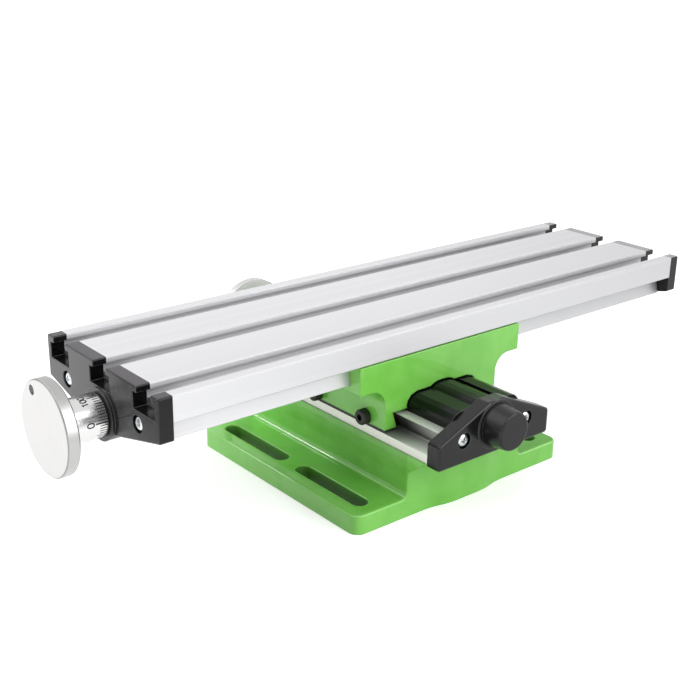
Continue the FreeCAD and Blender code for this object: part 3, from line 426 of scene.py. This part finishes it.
# The rail's end caps, the round plug and the humped cover over the lower screw: black moulded
# plastic with a fine sandblasted grain. The caps are screwed to the rail's ends and hold the cover.
rail_cap_tone = (0.0055, 0.0050, 0.0058)
cover_tone = (0.0026, 0.0036, 0.0026)
# pale grey of the painted highlight on the plastic's edges
edge_highlight_grey = (0.16, 0.16, 0.17, 1)
plastic_dull, plastic_smudge, plastic_relief = 1.25, 0.05, 0.000016
plug_edge = 0.0014


def moulded_black(name, roughness, tone, gloss, painted_highlight=None, edge=0.0005):
    """Black plastic with pale painted highlights on its edges; an optional function adds a lighter grey of
    painted highlight and reflected light.
    """
    finish, tree, shader, spot = new_finish(name, Specular_IOR_Level=gloss)
    edges = use_group(tree, broken_edges, {"Radius": edge})
    grain = use_group(tree, skin, {"Vector": spot, "Fine": 2600.0, "Coarse": 60.0})
    wear = use_group(tree, handling, {"Vector": spot, "Size": 25.0})
    dull = tuple(part * plastic_dull for part in tone)
    body = shade(tree, span(tree, grain["Tone"], 0, 1, 0.3, 0.7), tone, dull)
    # painted highlight and reflected light added to the black
    if painted_highlight:
        body = place(tree, "ShaderNodeMix", {"Factor": 1.0, "A": body, "B": painted_highlight(tree, spot)},
                     data_type="RGBA", blend_type="ADD").outputs["Result"]
    # painted highlight: a pale grey line on every edge
    with_edge_highlight = pick(tree, span(tree, edges["Edge"], 0, 1, 0.2, 0.8), body, edge_highlight_grey)
    tree.links.new(with_edge_highlight, shader.inputs["Base Color"])
    tree.links.new(span(tree, wear["Marks"], roughness, roughness + plastic_smudge),
                   shader.inputs["Roughness"])
    relief(tree, shader, grain["Height"], plastic_relief, edges["Normal"])
    return finish


dress(moulded_black("cap black", 0.20, rail_cap_tone, 0.42), "y_front_cap", "y_back_cap")
dress(moulded_black("plug black", 0.24, rail_cap_tone, 0.42, edge=plug_edge), "y_front_plug")
dress(moulded_black("cover black", 0.22, cover_tone, 0.19), "y_screw_cover")


# The saddle: a cast block with legs that grip the rail and a jaw for the table's dovetail. It has
# the same green enamel as the base.
saddle_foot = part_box("saddle_casting")[0][2]


def saddle_shade(tree, spot):
    """Painted shade of the saddle: a dark line along the lower edge of its legs, just over the rail, and
    a slightly lighter tone above it. Its coat is even.
    """
    height = span(tree, axes(tree, spot)[2], 0, 1, saddle_foot + 0.0002, saddle_foot + 0.0022)
    return ramp(tree, height, [(0.0, 0.12), (0.18, 0.2), (0.32, 1.06), (1.0, 1.06)]), None, None


dress(enamel("saddle enamel", saddle_shade), "saddle_casting")


# The gibs, nuts and bushes: machined brass, held by screws or pressed in. Only the lower gib's front
# end shows, brown with oil.
brass_clean, brass_oiled = (0.50, 0.31, 0.13), (0.16, 0.09, 0.045)
brass_rough, brass_relief = (0.28, 0.46), 0.00003
brass_metal, tree, shader, spot = new_finish("machined brass", Metallic=1.0)
edges = use_group(tree, broken_edges, {"Radius": 0.0003})
drawn = use_group(tree, drawn_lines, {"Vector": spot, "Stretch": (1800, 60, 1800)})
wear = use_group(tree, handling, {"Vector": spot, "Size": 120.0})
tree.links.new(shade(tree, wear["Marks"], brass_clean, brass_oiled), shader.inputs["Base Color"])
tree.links.new(span(tree, drawn["Lines"], *brass_rough), shader.inputs["Roughness"])
relief(tree, shader, drawn["Lines"], brass_relief, edges["Normal"])
dress(brass_metal, "y_gib", "x_gib", "x_nut", "y_nut", "y_front_bush", "y_back_bush", "x_left_bush",
      "x_right_bush")


# The table: a long aluminium extrusion with three T-slots on top and a dovetail below, cut to length
# and satin anodised. The die lines run along it.
table_low, table_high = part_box("x_table")
left_end, right_end, table_top = table_low[0], table_high[0], table_high[2]
table_middle = (table_low[1] + table_high[1]) / 2
slot_floor, skirt_from, skirt_foot = 0.071, 0.058, 0.0678
skirt_face = 0.0443
dark_reach = 0.0172
table_tones = (0.735, 0.735, 0.75), (0.765, 0.765, 0.778)
table_stretch = (9, 2500, 2500)


def table_light_and_shade(tree, spot):
    """Painted light and shade of the table by height and length: in the slots painted shade on the walls,
    a dark line under a bright lip and painted highlights lower down; slot floors dark near the left end;
    painted shade on the skirt's top edge, at its foot and on the strip below it; and a dimmer far end."""
    x, y, z = axes(tree, spot)
    # painted light and shade in the slots by height: dim walls, a dark line under a bright lip, dark neck
    # edges
    slot = ramp(tree, span(tree, z, 0, 1, slot_floor, table_top), [
        (0.0, 1.0), (0.12, 1.0), (0.17, 1.25), (0.21, 1.25), (0.27, 1.0), (0.38, 1.0), (0.43, 0.76),
        (0.60, 0.76), (0.67, 0.72), (0.73, 0.88), (0.80, 1.0), (0.87, 1.06), (0.935, 1.22), (0.955, 0.8),
        (0.99, 0.8), (0.997, 1.0)])
    # painted shade on the slot floors near the left end
    slot_end = ramp(tree, span(tree, x, 0, 1, left_end, left_end + dark_reach), [
        (0.0, 0.194), (0.564, 0.22), (1.0, 1.0)])
    in_floor = span(tree, z, 1, 0, slot_floor + 0.0006, slot_floor + 0.0008)
    slot = times(tree, slot, pick(tree, in_floor, white, slot_end))
    # painted shade: a dark line at the skirt's foot and a darker top edge
    skirt = ramp(tree, span(tree, z, 0, 1, skirt_from, table_top), [
        (0.0, 1.0), (0.46, 1.0), (0.473, 0.45), (0.485, 1.0), (0.965, 1.0), (0.978, 0.84), (0.994, 0.84),
        (0.9995, 1.0)])
    lengthwise = span(tree, x, 0, 1, left_end, right_end)
    # painted shade: the far end dimmer, and the strip under the skirt darker, more so towards the far end
    dim = ramp(tree, lengthwise, [(0.0, 1.03), (0.5, 1.0), (1.0, 0.86)])
    strip = ramp(tree, lengthwise, [(0.0, 0.88), (1.0, 0.68)])
    off_middle = calc(tree, "ABSOLUTE", calc(tree, "SUBTRACT", y, table_middle))
    on_skirt = span(tree, off_middle, 0, 1, skirt_face, skirt_face + 0.0001)
    below = span(tree, z, 1, 0, skirt_foot - 0.0001, skirt_foot + 0.0001)
    return pick(tree, below, times(tree, dim, pick(tree, on_skirt, slot, skirt)), strip)


dress(extruded_alloy("table alloy", table_stretch, *table_tones, table_light_and_shade), "x_table")


# The table's end caps: black moulded plastic that repeats the T-slots, each screwed to the table's
# end by two screws. Their tops carry a painted highlight in lighter grey, and the left one's outer face
# painted reflected light, least a third of the way back and most at the rear.
cap_thickness = 0.0063
cap_front, cap_rear = -0.042, 0.049
no_glare = (0, 0, 0, 1)
left_cap_tone, left_top_glare = (0.0040, 0.0036, 0.0042), (0.055, 0.05, 0.058, 1)
right_cap_tone, right_top_glare = (0.0050, 0.0045, 0.0052), (0.27, 0.26, 0.28, 1)


def on_cap_top(tree, spot):
    """Mask of the caps' top faces."""
    return span(tree, axes(tree, spot)[2], 0, 1, table_top - 0.0003, table_top - 0.0001)


def left_cap_glare(tree, spot):
    """Painted highlight and reflected light added to the left cap: grey on its top, and on its outer face
    more and more to the rear.
    """
    x, y = axes(tree, spot)[:2]
    outer_face = left_end - cap_thickness
    face = ramp(tree, span(tree, y, 0, 1, cap_front, cap_rear), [
        (0.0, 0.020), (0.25, 0.016), (0.33, 0.012), (0.46, 0.045), (0.60, 0.088), (1.0, 0.105)])
    on_face = span(tree, x, 1, 0, outer_face + 0.0002, outer_face + 0.0005)
    return pick(tree, on_cap_top(tree, spot), pick(tree, on_face, no_glare, face), left_top_glare)


def right_cap_glare(tree, spot):
    """Painted highlight added to the right cap's top, in grey."""
    return pick(tree, on_cap_top(tree, spot), no_glare, right_top_glare)


dress(moulded_black("left cap black", 0.20, left_cap_tone, 0.30, left_cap_glare), "x_left_cap")
dress(moulded_black("right cap black", 0.20, right_cap_tone, 0.42, right_cap_glare), "x_right_cap")


# The cap screws: small pan heads with a cross recess, cold headed in steel and bright zinc plated.
# They hold the caps to the ends of the rail and the table and sit sunk in round pockets.
zinc_tones = (0.66, 0.70, 0.74), (0.82, 0.83, 0.84)
zinc_rough, zinc_relief = (0.14, 0.34), 0.00003
bright_zinc, tree, shader, spot = new_finish("bright zinc", Metallic=1.0)
edges = use_group(tree, broken_edges, {"Radius": 0.00015})
grain = use_group(tree, skin, {"Vector": spot, "Fine": 2600.0, "Coarse": 500.0})
tree.links.new(shade(tree, grain["Tone"], *zinc_tones), shader.inputs["Base Color"])
tree.links.new(span(tree, grain["Height"], *zinc_rough), shader.inputs["Roughness"])
relief(tree, shader, grain["Height"], zinc_relief, edges["Normal"])


def turned(profile, count=48):
    """Closed turned body about its own Z axis; profile is (radius, height) from bottom to top, in mm."""
    bm = bmesh.new()
    rings = []
    for radius, height in profile:
        if radius == 0:
            rings.append([bm.verts.new((0, 0, height / 1000))])
            continue
        turns = [2 * math.pi * i / count for i in range(count)]
        rings.append([bm.verts.new((radius * math.cos(t) / 1000, radius * math.sin(t) / 1000, height / 1000))
                      for t in turns])
    for low, high in zip(rings, rings[1:]):
        for i in range(count):
            j = (i + 1) % count
            corners = [low[i % len(low)], low[j % len(low)], high[j % len(high)], high[i % len(high)]]
            bm.faces.new([v for k, v in enumerate(corners) if v not in corners[:k]])
    return bm


def prism(outline, top, bottom, taper=1.0):
    """Closed prism of (x, y) points in mm from bottom to top, its bottom scaled by taper."""
    bm = bmesh.new()
    high = [bm.verts.new((x / 1000, y / 1000, top / 1000)) for x, y in outline]
    low = [bm.verts.new((x * taper / 1000, y * taper / 1000, bottom / 1000)) for x, y in outline]
    bm.faces.new(high)
    bm.faces.new(low[::-1])
    for i in range(len(outline)):
        j = (i + 1) % len(outline)
        bm.faces.new([low[i], low[j], high[j], high[i]])
    return bm


def polygon(radius, count, first=0.0):
    """Corners of a regular polygon in mm; first is the turn of its first corner, in steps."""
    turns = [2 * math.pi * (i + first) / count for i in range(count)]
    return [(radius * math.cos(t), radius * math.sin(t)) for t in turns]


def carve(bm, cutters):
    """Cuts closed meshes out of a closed mesh."""
    items = []
    for source in [bm] + cutters:
        mesh = bpy.data.meshes.new("blank")
        source.to_mesh(mesh)
        source.free()
        item = bpy.data.objects.new("blank", mesh)
        bpy.context.scene.collection.objects.link(item)
        items.append(item)
    for item in items[1:]:
        cut = items[0].modifiers.new("cut", "BOOLEAN")
        cut.object = item
        cut.solver = "EXACT"
    result = bmesh.new()
    result.from_object(items[0], bpy.context.evaluated_depsgraph_get())
    for item in items:
        bpy.data.objects.remove(item)
    return result


def mesh_of(name, bm, finish, sharp=32):
    """Mesh with a finish, smooth but for edges over the sharp angle in degrees."""
    mesh = bpy.data.meshes.new(name)
    bm.to_mesh(mesh)
    bm.free()
    mesh.shade_smooth()
    mesh.set_sharp_from_angle(angle=math.radians(sharp))
    mesh.materials.append(finish)
    return mesh


def add_piece(name, mesh, body, stands_for=(), stand=None):
    """Puts a piece in the scene, riding on its body; stand is its place and turn."""
    piece = bpy.data.objects.new(name, mesh)
    if stand:
        piece.matrix_world = stand
    bpy.context.scene.collection.objects.link(piece)
    bpy.context.view_layer.update()
    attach(piece, body)
    if stands_for:
        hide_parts(*stands_for)


def seat_screw(node, mesh, body, inward, head_height):
    """Puts a screw mesh, head up along its Z axis, in its CAD node's place, its shank going inward."""
    low, high = [Vector(corner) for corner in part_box(node)]
    inward = Vector(inward)
    half_length = abs((high - low).dot(inward)) / 2
    seat = (low + high) / 2 - inward * (half_length - head_height)
    turn = (-inward).to_track_quat("Z", "Y").to_matrix().to_4x4()
    add_piece(node + "_made", mesh, body, (node,), Matrix.Translation(seat) @ turn)


cap_screw_dome = [(0, -11.5), (1.6, -11.5), (2.0, -11.0), (2.0, -0.3), (2.0, 0.0), (3.1, 0.0), (3.2, 0.12),
                  (3.2, 0.75), (3.12, 1.15), (2.9, 1.5), (2.5, 1.85), (1.95, 2.1), (1.3, 2.24), (0.6, 2.29),
                  (0, 2.3)]
cap_head_height = 0.0023
recess_top = 2.6
wing_long, wing_wide, wing_floor, wing_taper = 1.75, 0.42, 0.75, 0.62
hub_radius, hub_floor, hub_taper = 0.95, 0.7, 0.5
recess = [prism([(-a, -b), (a, -b), (a, b), (-a, b)], recess_top, wing_floor, wing_taper)
          for a, b in ((wing_long, wing_wide), (wing_wide, wing_long))]
recess.append(prism(polygon(hub_radius, 8, 0.5), recess_top, hub_floor, hub_taper))
cap_screw_mesh = mesh_of("cap_screw", carve(turned(cap_screw_dome), recess), bright_zinc)
for cap, body, inward, sides in (("y_front_cap", "base", (0, 1, 0), ("left", "right")),
                                 ("y_back_cap", "base", (0, -1, 0), ("left", "right")),
                                 ("x_left_cap", "table", (1, 0, 0), ("front", "back")),
                                 ("x_right_cap", "table", (-1, 0, 0), ("front", "back"))):
    for side in sides:
        seat_screw(cap + "_screw_" + side, cap_screw_mesh, body, inward, cap_head_height)
dress(bright_zinc, "x_nut_screw_1", "x_nut_screw_2", "y_nut_screw_1", "y_nut_screw_2")


# The gib screws and rail bolts: socket heads of blackened steel with knurled sides. The gib screws
# stand in a row on the saddle's left leg and on its back jaw.
oxide_tones, oxide_worn = ((0.022, 0.021, 0.020), (0.050, 0.048, 0.046)), (0.22, 0.21, 0.20, 1)
oxide_rough, oxide_relief, oxide_edge_wear = (0.26, 0.44), 0.00004, 0.7
black_oxide, tree, shader, spot = new_finish("black oxide", Metallic=0.75)
edges = use_group(tree, broken_edges, {"Radius": 0.0002})
grain = use_group(tree, skin, {"Vector": spot, "Fine": 2400.0, "Coarse": 300.0})
tone = shade(tree, grain["Tone"], *oxide_tones)
edge_lighting_and_wear = pick(tree, span(tree, edges["Edge"], 0, oxide_edge_wear), tone, oxide_worn)
tree.links.new(edge_lighting_and_wear, shader.inputs["Base Color"])
tree.links.new(span(tree, grain["Height"], *oxide_rough), shader.inputs["Roughness"])
relief(tree, shader, grain["Height"], oxide_relief, edges["Normal"])
dress(black_oxide, "rail_bolt_1", "rail_bolt_2", "rail_bolt_3", "rail_bolt_4", "x_dial_grub", "y_dial_grub")


def knurl(bm, radius, low, high, ribs, depth, slack=0.01):
    """Pushes every other rib of a turned head's side in by a depth, between two heights, in mm."""
    for vert in bm.verts:
        on_side = abs(vert.co.xy.length * 1000 - radius) < slack
        if on_side and low - slack <= vert.co.z * 1000 <= high + slack:
            angle = math.atan2(vert.co.y, vert.co.x)
            if math.cos(angle * ribs) < 0:
                vert.co.xy *= (radius - depth) / radius


gib_head_radius, knurl_low, knurl_high = 3.6, 0.25, 3.35
knurl_ribs, knurl_depth = 48, 0.14
gib_head_height = 0.004
socket_reach, socket_top, socket_floor = 1.73, 4.5, 1.9
socket_head = turned([(0, -7.0), (1.7, -7.0), (2.0, -6.7), (2.0, 0.0), (3.35, 0.0),
                      (gib_head_radius, knurl_low), (gib_head_radius, knurl_high), (3.5, 3.6), (3.15, 3.95),
                      (2.9, 4.0), (0, 4.0)], 2 * knurl_ribs)
knurl(socket_head, gib_head_radius, knurl_low, knurl_high, knurl_ribs, knurl_depth)
socket = prism(polygon(socket_reach, 6), socket_top, socket_floor)
gib_screw_mesh = mesh_of("gib_screw", carve(socket_head, [socket]), black_oxide, 22)
for row, inward in (("y", (1, 0, 0)), ("x", (0, -1, 0))):
    for i in (1, 2, 3):
        seat_screw("%s_gib_screw_%d" % (row, i), gib_screw_mesh, "saddle", inward,
                   gib_head_height)


# The leadscrews: ground steel rods with a rolled M8 thread between plain journals. The table's screw
# lies in the channel under the table, the lower one under its cover.
steel_clean, steel_oiled = (0.58, 0.58, 0.59), (0.40, 0.385, 0.36)
steel_rough, steel_relief = (0.20, 0.36), 0.00002
ground_steel, tree, shader, spot = new_finish("ground steel", Metallic=1.0)
edges = use_group(tree, broken_edges, {"Radius": 0.0002})
grain = use_group(tree, skin, {"Vector": spot, "Fine": 2000.0, "Coarse": 200.0})
wear = use_group(tree, handling, {"Vector": spot, "Size": 90.0})
tree.links.new(shade(tree, wear["Marks"], steel_clean, steel_oiled), shader.inputs["Base Color"])
tree.links.new(span(tree, grain["Tone"], *steel_rough), shader.inputs["Roughness"])
relief(tree, shader, grain["Height"], steel_relief, edges["Normal"])
dress(ground_steel, "x_thrust_ring", "y_thrust_ring")

x_axis_y, x_axis_z, y_axis_z = 3.2, 57.85, 40.9
thread_gap_near, thread_gap_far = 2.0, 1.5
crest, root, journal, pitch = 4.0, 3.28, 3.0, 1.25
journal_chamfer, shoulder_chamfer = 0.4, 0.1
core_inset, core_chamfer = 0.02, 0.35
thread_section = [(root, -0.5), (root, -0.4), (crest, -0.07), (crest, 0.07), (root, 0.4), (root, 0.5)]


def leadscrew_mesh(name, along, across, start, thread_start, thread_end, end, count=24):
    """Screw from start to end along its axis, threaded between, all in mm along the axis vector."""
    third = along.cross(across)
    bm = bmesh.new()

    def point(radius, turn, where):
        return bm.verts.new((along * where + across * radius * math.cos(turn)
                             + third * radius * math.sin(turn)) / 1000)

    def ring(radius, where):
        return [point(radius, 2 * math.pi * i / count, where) for i in range(count)]

    def rod(rings):
        for low, high in zip(rings, rings[1:]):
            for i in range(count):
                j = (i + 1) % count
                bm.faces.new([low[i], low[j], high[j], high[i]])
        bm.faces.new(rings[0][::-1])
        bm.faces.new(rings[-1])

    for a, b in ((start, thread_start), (thread_end, end)):
        rod([ring(journal - journal_chamfer, a), ring(journal, a + journal_chamfer),
             ring(journal, b - shoulder_chamfer), ring(journal - shoulder_chamfer, b)])
    first = count // 2
    last = int((thread_end - thread_start) / pitch * count) - first
    before = None
    for k in range(first, last):
        fade = min(1.0, (k - first) / count, (last - 1 - k) / count)
        row = [point(root + (radius - root) * fade, 2 * math.pi * k / count,
                     thread_start + pitch * (k / count + offset)) for radius, offset in thread_section]
        if before:
            for i in range(len(row) - 1):
                bm.faces.new([before[i], row[i], row[i + 1], before[i + 1]])
        before = row
    rod([ring(root - core_chamfer, thread_start), ring(root - core_inset, thread_start + core_chamfer),
         ring(root - core_inset, thread_end - core_chamfer), ring(root - core_chamfer, thread_end)])
    bmesh.ops.recalc_face_normals(bm, faces=bm.faces)
    return mesh_of(name, bm, ground_steel, 40)


def shifted(mesh, place_mm):
    """Moves a mesh to a place given in mm."""
    mesh.transform(Matrix.Translation(Vector(place_mm) / 1000))
    return mesh


x_low, x_high = [corner[0] * 1000 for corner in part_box("x_leadscrew")]
x_screw = shifted(leadscrew_mesh("x_leadscrew_made", Vector((1, 0, 0)), Vector((0, 1, 0)), x_low,
                                 left_end * 1000 + thread_gap_near, right_end * 1000 - thread_gap_far,
                                 x_high),
                  (0, x_axis_y, x_axis_z))
add_piece("x_leadscrew_made", x_screw, "x_screw", ("x_leadscrew",))
y_low, y_high = [corner[1] * 1000 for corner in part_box("y_leadscrew")]
y_screw = shifted(leadscrew_mesh("y_leadscrew_made", Vector((0, -1, 0)), Vector((1, 0, 0)), -y_high,
                                 thread_gap_near - rail_high[1] * 1000, -rail_low[1] * 1000 - thread_gap_far,
                                 -y_low),
                  (0, 0, y_axis_z))
add_piece("y_leadscrew_made", y_screw, "y_screw", ("y_leadscrew",))


# The handwheels: plain turned aluminium discs on the screws' ends, fine rings on the face and rim,
# each with a tapped hole for a crank handle.
x_centre, x_across = (0, x_axis_y / 1000, x_axis_z / 1000), (0, 1, 1)
y_centre, y_across = (0, 0, y_axis_z / 1000), (1, 0, 1)
wheel_reach = 0.0202
table_wheel_tones = (0.61, 0.605, 0.60), (0.655, 0.65, 0.645)
# painted light: the rear wheel, the same turned alloy as the table's, gets much lighter tones and less metal
rear_wheel_lit_tones = (0.84, 0.835, 0.83), (0.88, 0.875, 0.87)
rear_wheel_metal = 0.45
wheel_cut, wheel_smudge = 0.000008, 0.06

# turning: the fine rings that a lathe tool leaves round an axis, and the distance from that axis
turning, given, made = start_group("turning", [("Vector", "Vector", None), ("Centre", "Vector", None),
                                               ("Across", "Vector", None), ("Pitch", "Float", 2500.0)],
                                   [("Rings", "Float"), ("Radius", "Float")])
from_axis = vector_calc(turning, "SUBTRACT", given["Vector"], given["Centre"])
flat = vector_calc(turning, "MULTIPLY", from_axis, given["Across"])
radius = vector_calc(turning, "LENGTH", flat)
depth = vector_calc(turning, "DOT_PRODUCT", vector_calc(turning, "SUBTRACT", from_axis, flat), (1, 1, 1))
cutter = calc(turning, "MULTIPLY", calc(turning, "ADD", radius, depth), given["Pitch"])
rings = place(turning, "ShaderNodeTexNoise", {"W": cutter, "Scale": 1.0, "Detail": 4.0, "Roughness": 0.7},
              noise_dimensions="1D")
turning.links.new(rings.outputs["Fac"], made["Rings"])
turning.links.new(radius, made["Radius"])


def turned_alloy(name, centre, across, roughness, cut_depth, edge_shade, tone_low, tone_high, metal=1.0):
    """Lathe-turned aluminium with its axis through centre; across is 1 on the axes across it. Its edges,
    a ring at the edge of the wheel's face and the rim are darkened as painted shade.
    """
    finish, tree, shader, spot = new_finish(name, Metallic=metal)
    edges = use_group(tree, broken_edges, {"Radius": 0.0003})
    lathe = use_group(tree, turning, {"Vector": spot, "Centre": centre, "Across": across})
    wear = use_group(tree, handling, {"Vector": spot, "Size": 70.0})
    tone = shade(tree, span(tree, lathe["Rings"], 0, 1, 0.3, 0.7), tone_low, tone_high)
    # painted shade: darker lines along the edges
    edge_lighting_and_wear = shade(tree, span(tree, edges["Edge"], 0, 1, 0.1, 0.6), (1, 1, 1), (edge_shade,) * 3)
    # painted shade: a dark ring at the edge of the wheel's face and a darker rim
    rim = ramp(tree, span(tree, lathe["Radius"], 0, 1, 0, wheel_reach), [
        (0.0, 1.0), (0.968, 1.0), (0.974, 0.5), (0.990, 0.5), (0.9945, 0.76), (1.0, 0.76)])
    tree.links.new(times(tree, times(tree, tone, edge_lighting_and_wear), rim), shader.inputs["Base Color"])
    rough = calc(tree, "ADD", span(tree, lathe["Rings"], roughness, roughness + wheel_smudge),
                 span(tree, wear["Marks"], 0, wheel_smudge))
    tree.links.new(rough, shader.inputs["Roughness"])
    relief(tree, shader, lathe["Rings"], cut_depth, edges["Normal"])
    return finish


dress(turned_alloy("table wheel alloy", x_centre, x_across, 0.30, wheel_cut, 0.45, *table_wheel_tones),
      "x_handwheel")
dress(turned_alloy("rear wheel alloy", y_centre, y_across, 0.40, wheel_cut, 0.6, *rear_wheel_lit_tones,
                   rear_wheel_metal), "y_handwheel")


# The dials: bright turned aluminium sleeves behind the handwheels, held by a grub screw. Fifty fine
# lines and the numbers 0 to 100 are engraved round the end next to the cap and filled with black.
dial_tones = (0.69, 0.69, 0.69), (0.76, 0.755, 0.75)
dial_rough, dial_cut, dial_edge_shade = 0.20, 0.000003, 0.8
ink_tones, ink_rough = ((0.006, 0.006, 0.006), (0.020, 0.020, 0.020)), (0.45, 0.7)
x_marks_start, y_marks_start, zero_turn = 148.34, 86.5, 177
join_distance = 0.000002
marks_radius = 9.37
mark_count = 50
line_width, zero_line_width, figure_width = 0.40, 0.62, 0.55
line_start, long_line, middle_line, short_line = 0.2, 5.7, 4.8, 3.8
figure_foot, figure_aspect = 6.4, 0.6
zero_size, zero_gap = 2.9, 0.62
other_size, other_gap = 2.5, 0.55
number_turns = {"0": 0, "100": 66, "75": 144, "50": 216, "25": 288}
numeral_strokes = {
    "0": [[(0.3, 0), (0.12, 0.06), (0, 0.25), (0, 0.75), (0.12, 0.94), (0.3, 1), (0.48, 0.94), (0.6, 0.75),
           (0.6, 0.25), (0.48, 0.06), (0.3, 0)]],
    "1": [[(0.12, 0.78), (0.34, 1), (0.34, 0)]],
    "2": [[(0, 0.76), (0.08, 0.93), (0.3, 1), (0.52, 0.93), (0.6, 0.74), (0.5, 0.52), (0, 0), (0.6, 0)]],
    "5": [[(0.56, 1), (0.06, 1), (0.02, 0.56), (0.3, 0.63), (0.52, 0.54), (0.6, 0.32), (0.52, 0.1),
           (0.3, 0), (0.08, 0.05), (0, 0.18)]],
    "7": [[(0, 1), (0.6, 1), (0.22, 0)]]}

dress(turned_alloy("table dial alloy", x_centre, x_across, dial_rough, dial_cut, dial_edge_shade,
                   *dial_tones), "x_dial")
dress(turned_alloy("rear dial alloy", y_centre, y_across, dial_rough, dial_cut, dial_edge_shade,
                   *dial_tones), "y_dial")

engraving_black, tree, shader, spot = new_finish("engraving black")
grain = use_group(tree, skin, {"Vector": spot, "Fine": 4000.0, "Coarse": 900.0})
tree.links.new(shade(tree, grain["Tone"], *ink_tones), shader.inputs["Base Color"])
tree.links.new(span(tree, grain["Height"], *ink_rough), shader.inputs["Roughness"])


def ribbon(points, width):
    """Quads along a line of (u, v) points with mitred joins."""
    sides = []
    closed = points[0] == points[-1]
    for i, (u, v) in enumerate(points):
        before = points[i - 1] if i else (points[-2] if closed else points[0])
        after = points[i + 1] if i + 1 < len(points) else (points[1] if closed else points[-1])
        into = Vector((u - before[0], v - before[1]))
        out = Vector((after[0] - u, after[1] - v))
        into = (into if into.length else out).normalized()
        out = (out if out.length else into).normalized()
        heading = (into + out).normalized()
        reach = width / 2 / max(0.5, heading.dot(into))
        side = Vector((-heading.y, heading.x)) * reach
        sides.append(((u + side.x, v + side.y), (u - side.x, v - side.y)))
    return [(a[0], a[1], b[1], b[0]) for a, b in zip(sides, sides[1:])]


def dial_marks(name, body, axis_point, outward, first, start, zero_at):
    """Engraved lines and numbers round a dial, in mm. Turns go from first towards up, start is the
    dial's end next to the cap along the outward axis, zero_at the turn of the zero line in degrees."""
    per_degree = math.radians(1) * marks_radius
    quads = []
    for mark in range(mark_count):
        reach = long_line if mark % 10 == 0 else (middle_line if mark % 5 == 0 else short_line)
        around = mark * 360 / mark_count * per_degree
        quads += ribbon([(around, line_start), (around, reach)], line_width if mark else zero_line_width)
    for number, turn in number_turns.items():
        size, gap = (zero_size, zero_gap) if number == "0" else (other_size, other_gap)
        advance = figure_aspect * size + gap
        left = turn * per_degree - (advance * len(number) - gap) / 2
        for figure in number:
            for stroke in numeral_strokes[figure]:
                quads += ribbon([(left + x * size, figure_foot + y * size) for x, y in stroke], figure_width)
            left += advance
    bm = bmesh.new()
    up = Vector((0, 0, 1))
    for quad in quads:
        verts = []
        for around, away in quad:
            turn = math.radians(zero_at - around / per_degree)
            side = first * math.cos(turn) + up * math.sin(turn)
            verts.append(bm.verts.new((axis_point + side * marks_radius + outward * (start + away)) / 1000))
        bm.faces.new(verts)
    bmesh.ops.remove_doubles(bm, verts=bm.verts, dist=join_distance)
    add_piece(name, mesh_of(name, bm, engraving_black), body)


dial_marks("x_dial_marks", "x_screw", Vector((0, x_axis_y, x_axis_z)), Vector((-1, 0, 0)), Vector((0, 1, 0)),
           x_marks_start, zero_turn)
dial_marks("y_dial_marks", "y_screw", Vector((0, 0, y_axis_z)), Vector((0, 1, 0)), Vector((1, 0, 0)),
           y_marks_start, zero_turn)
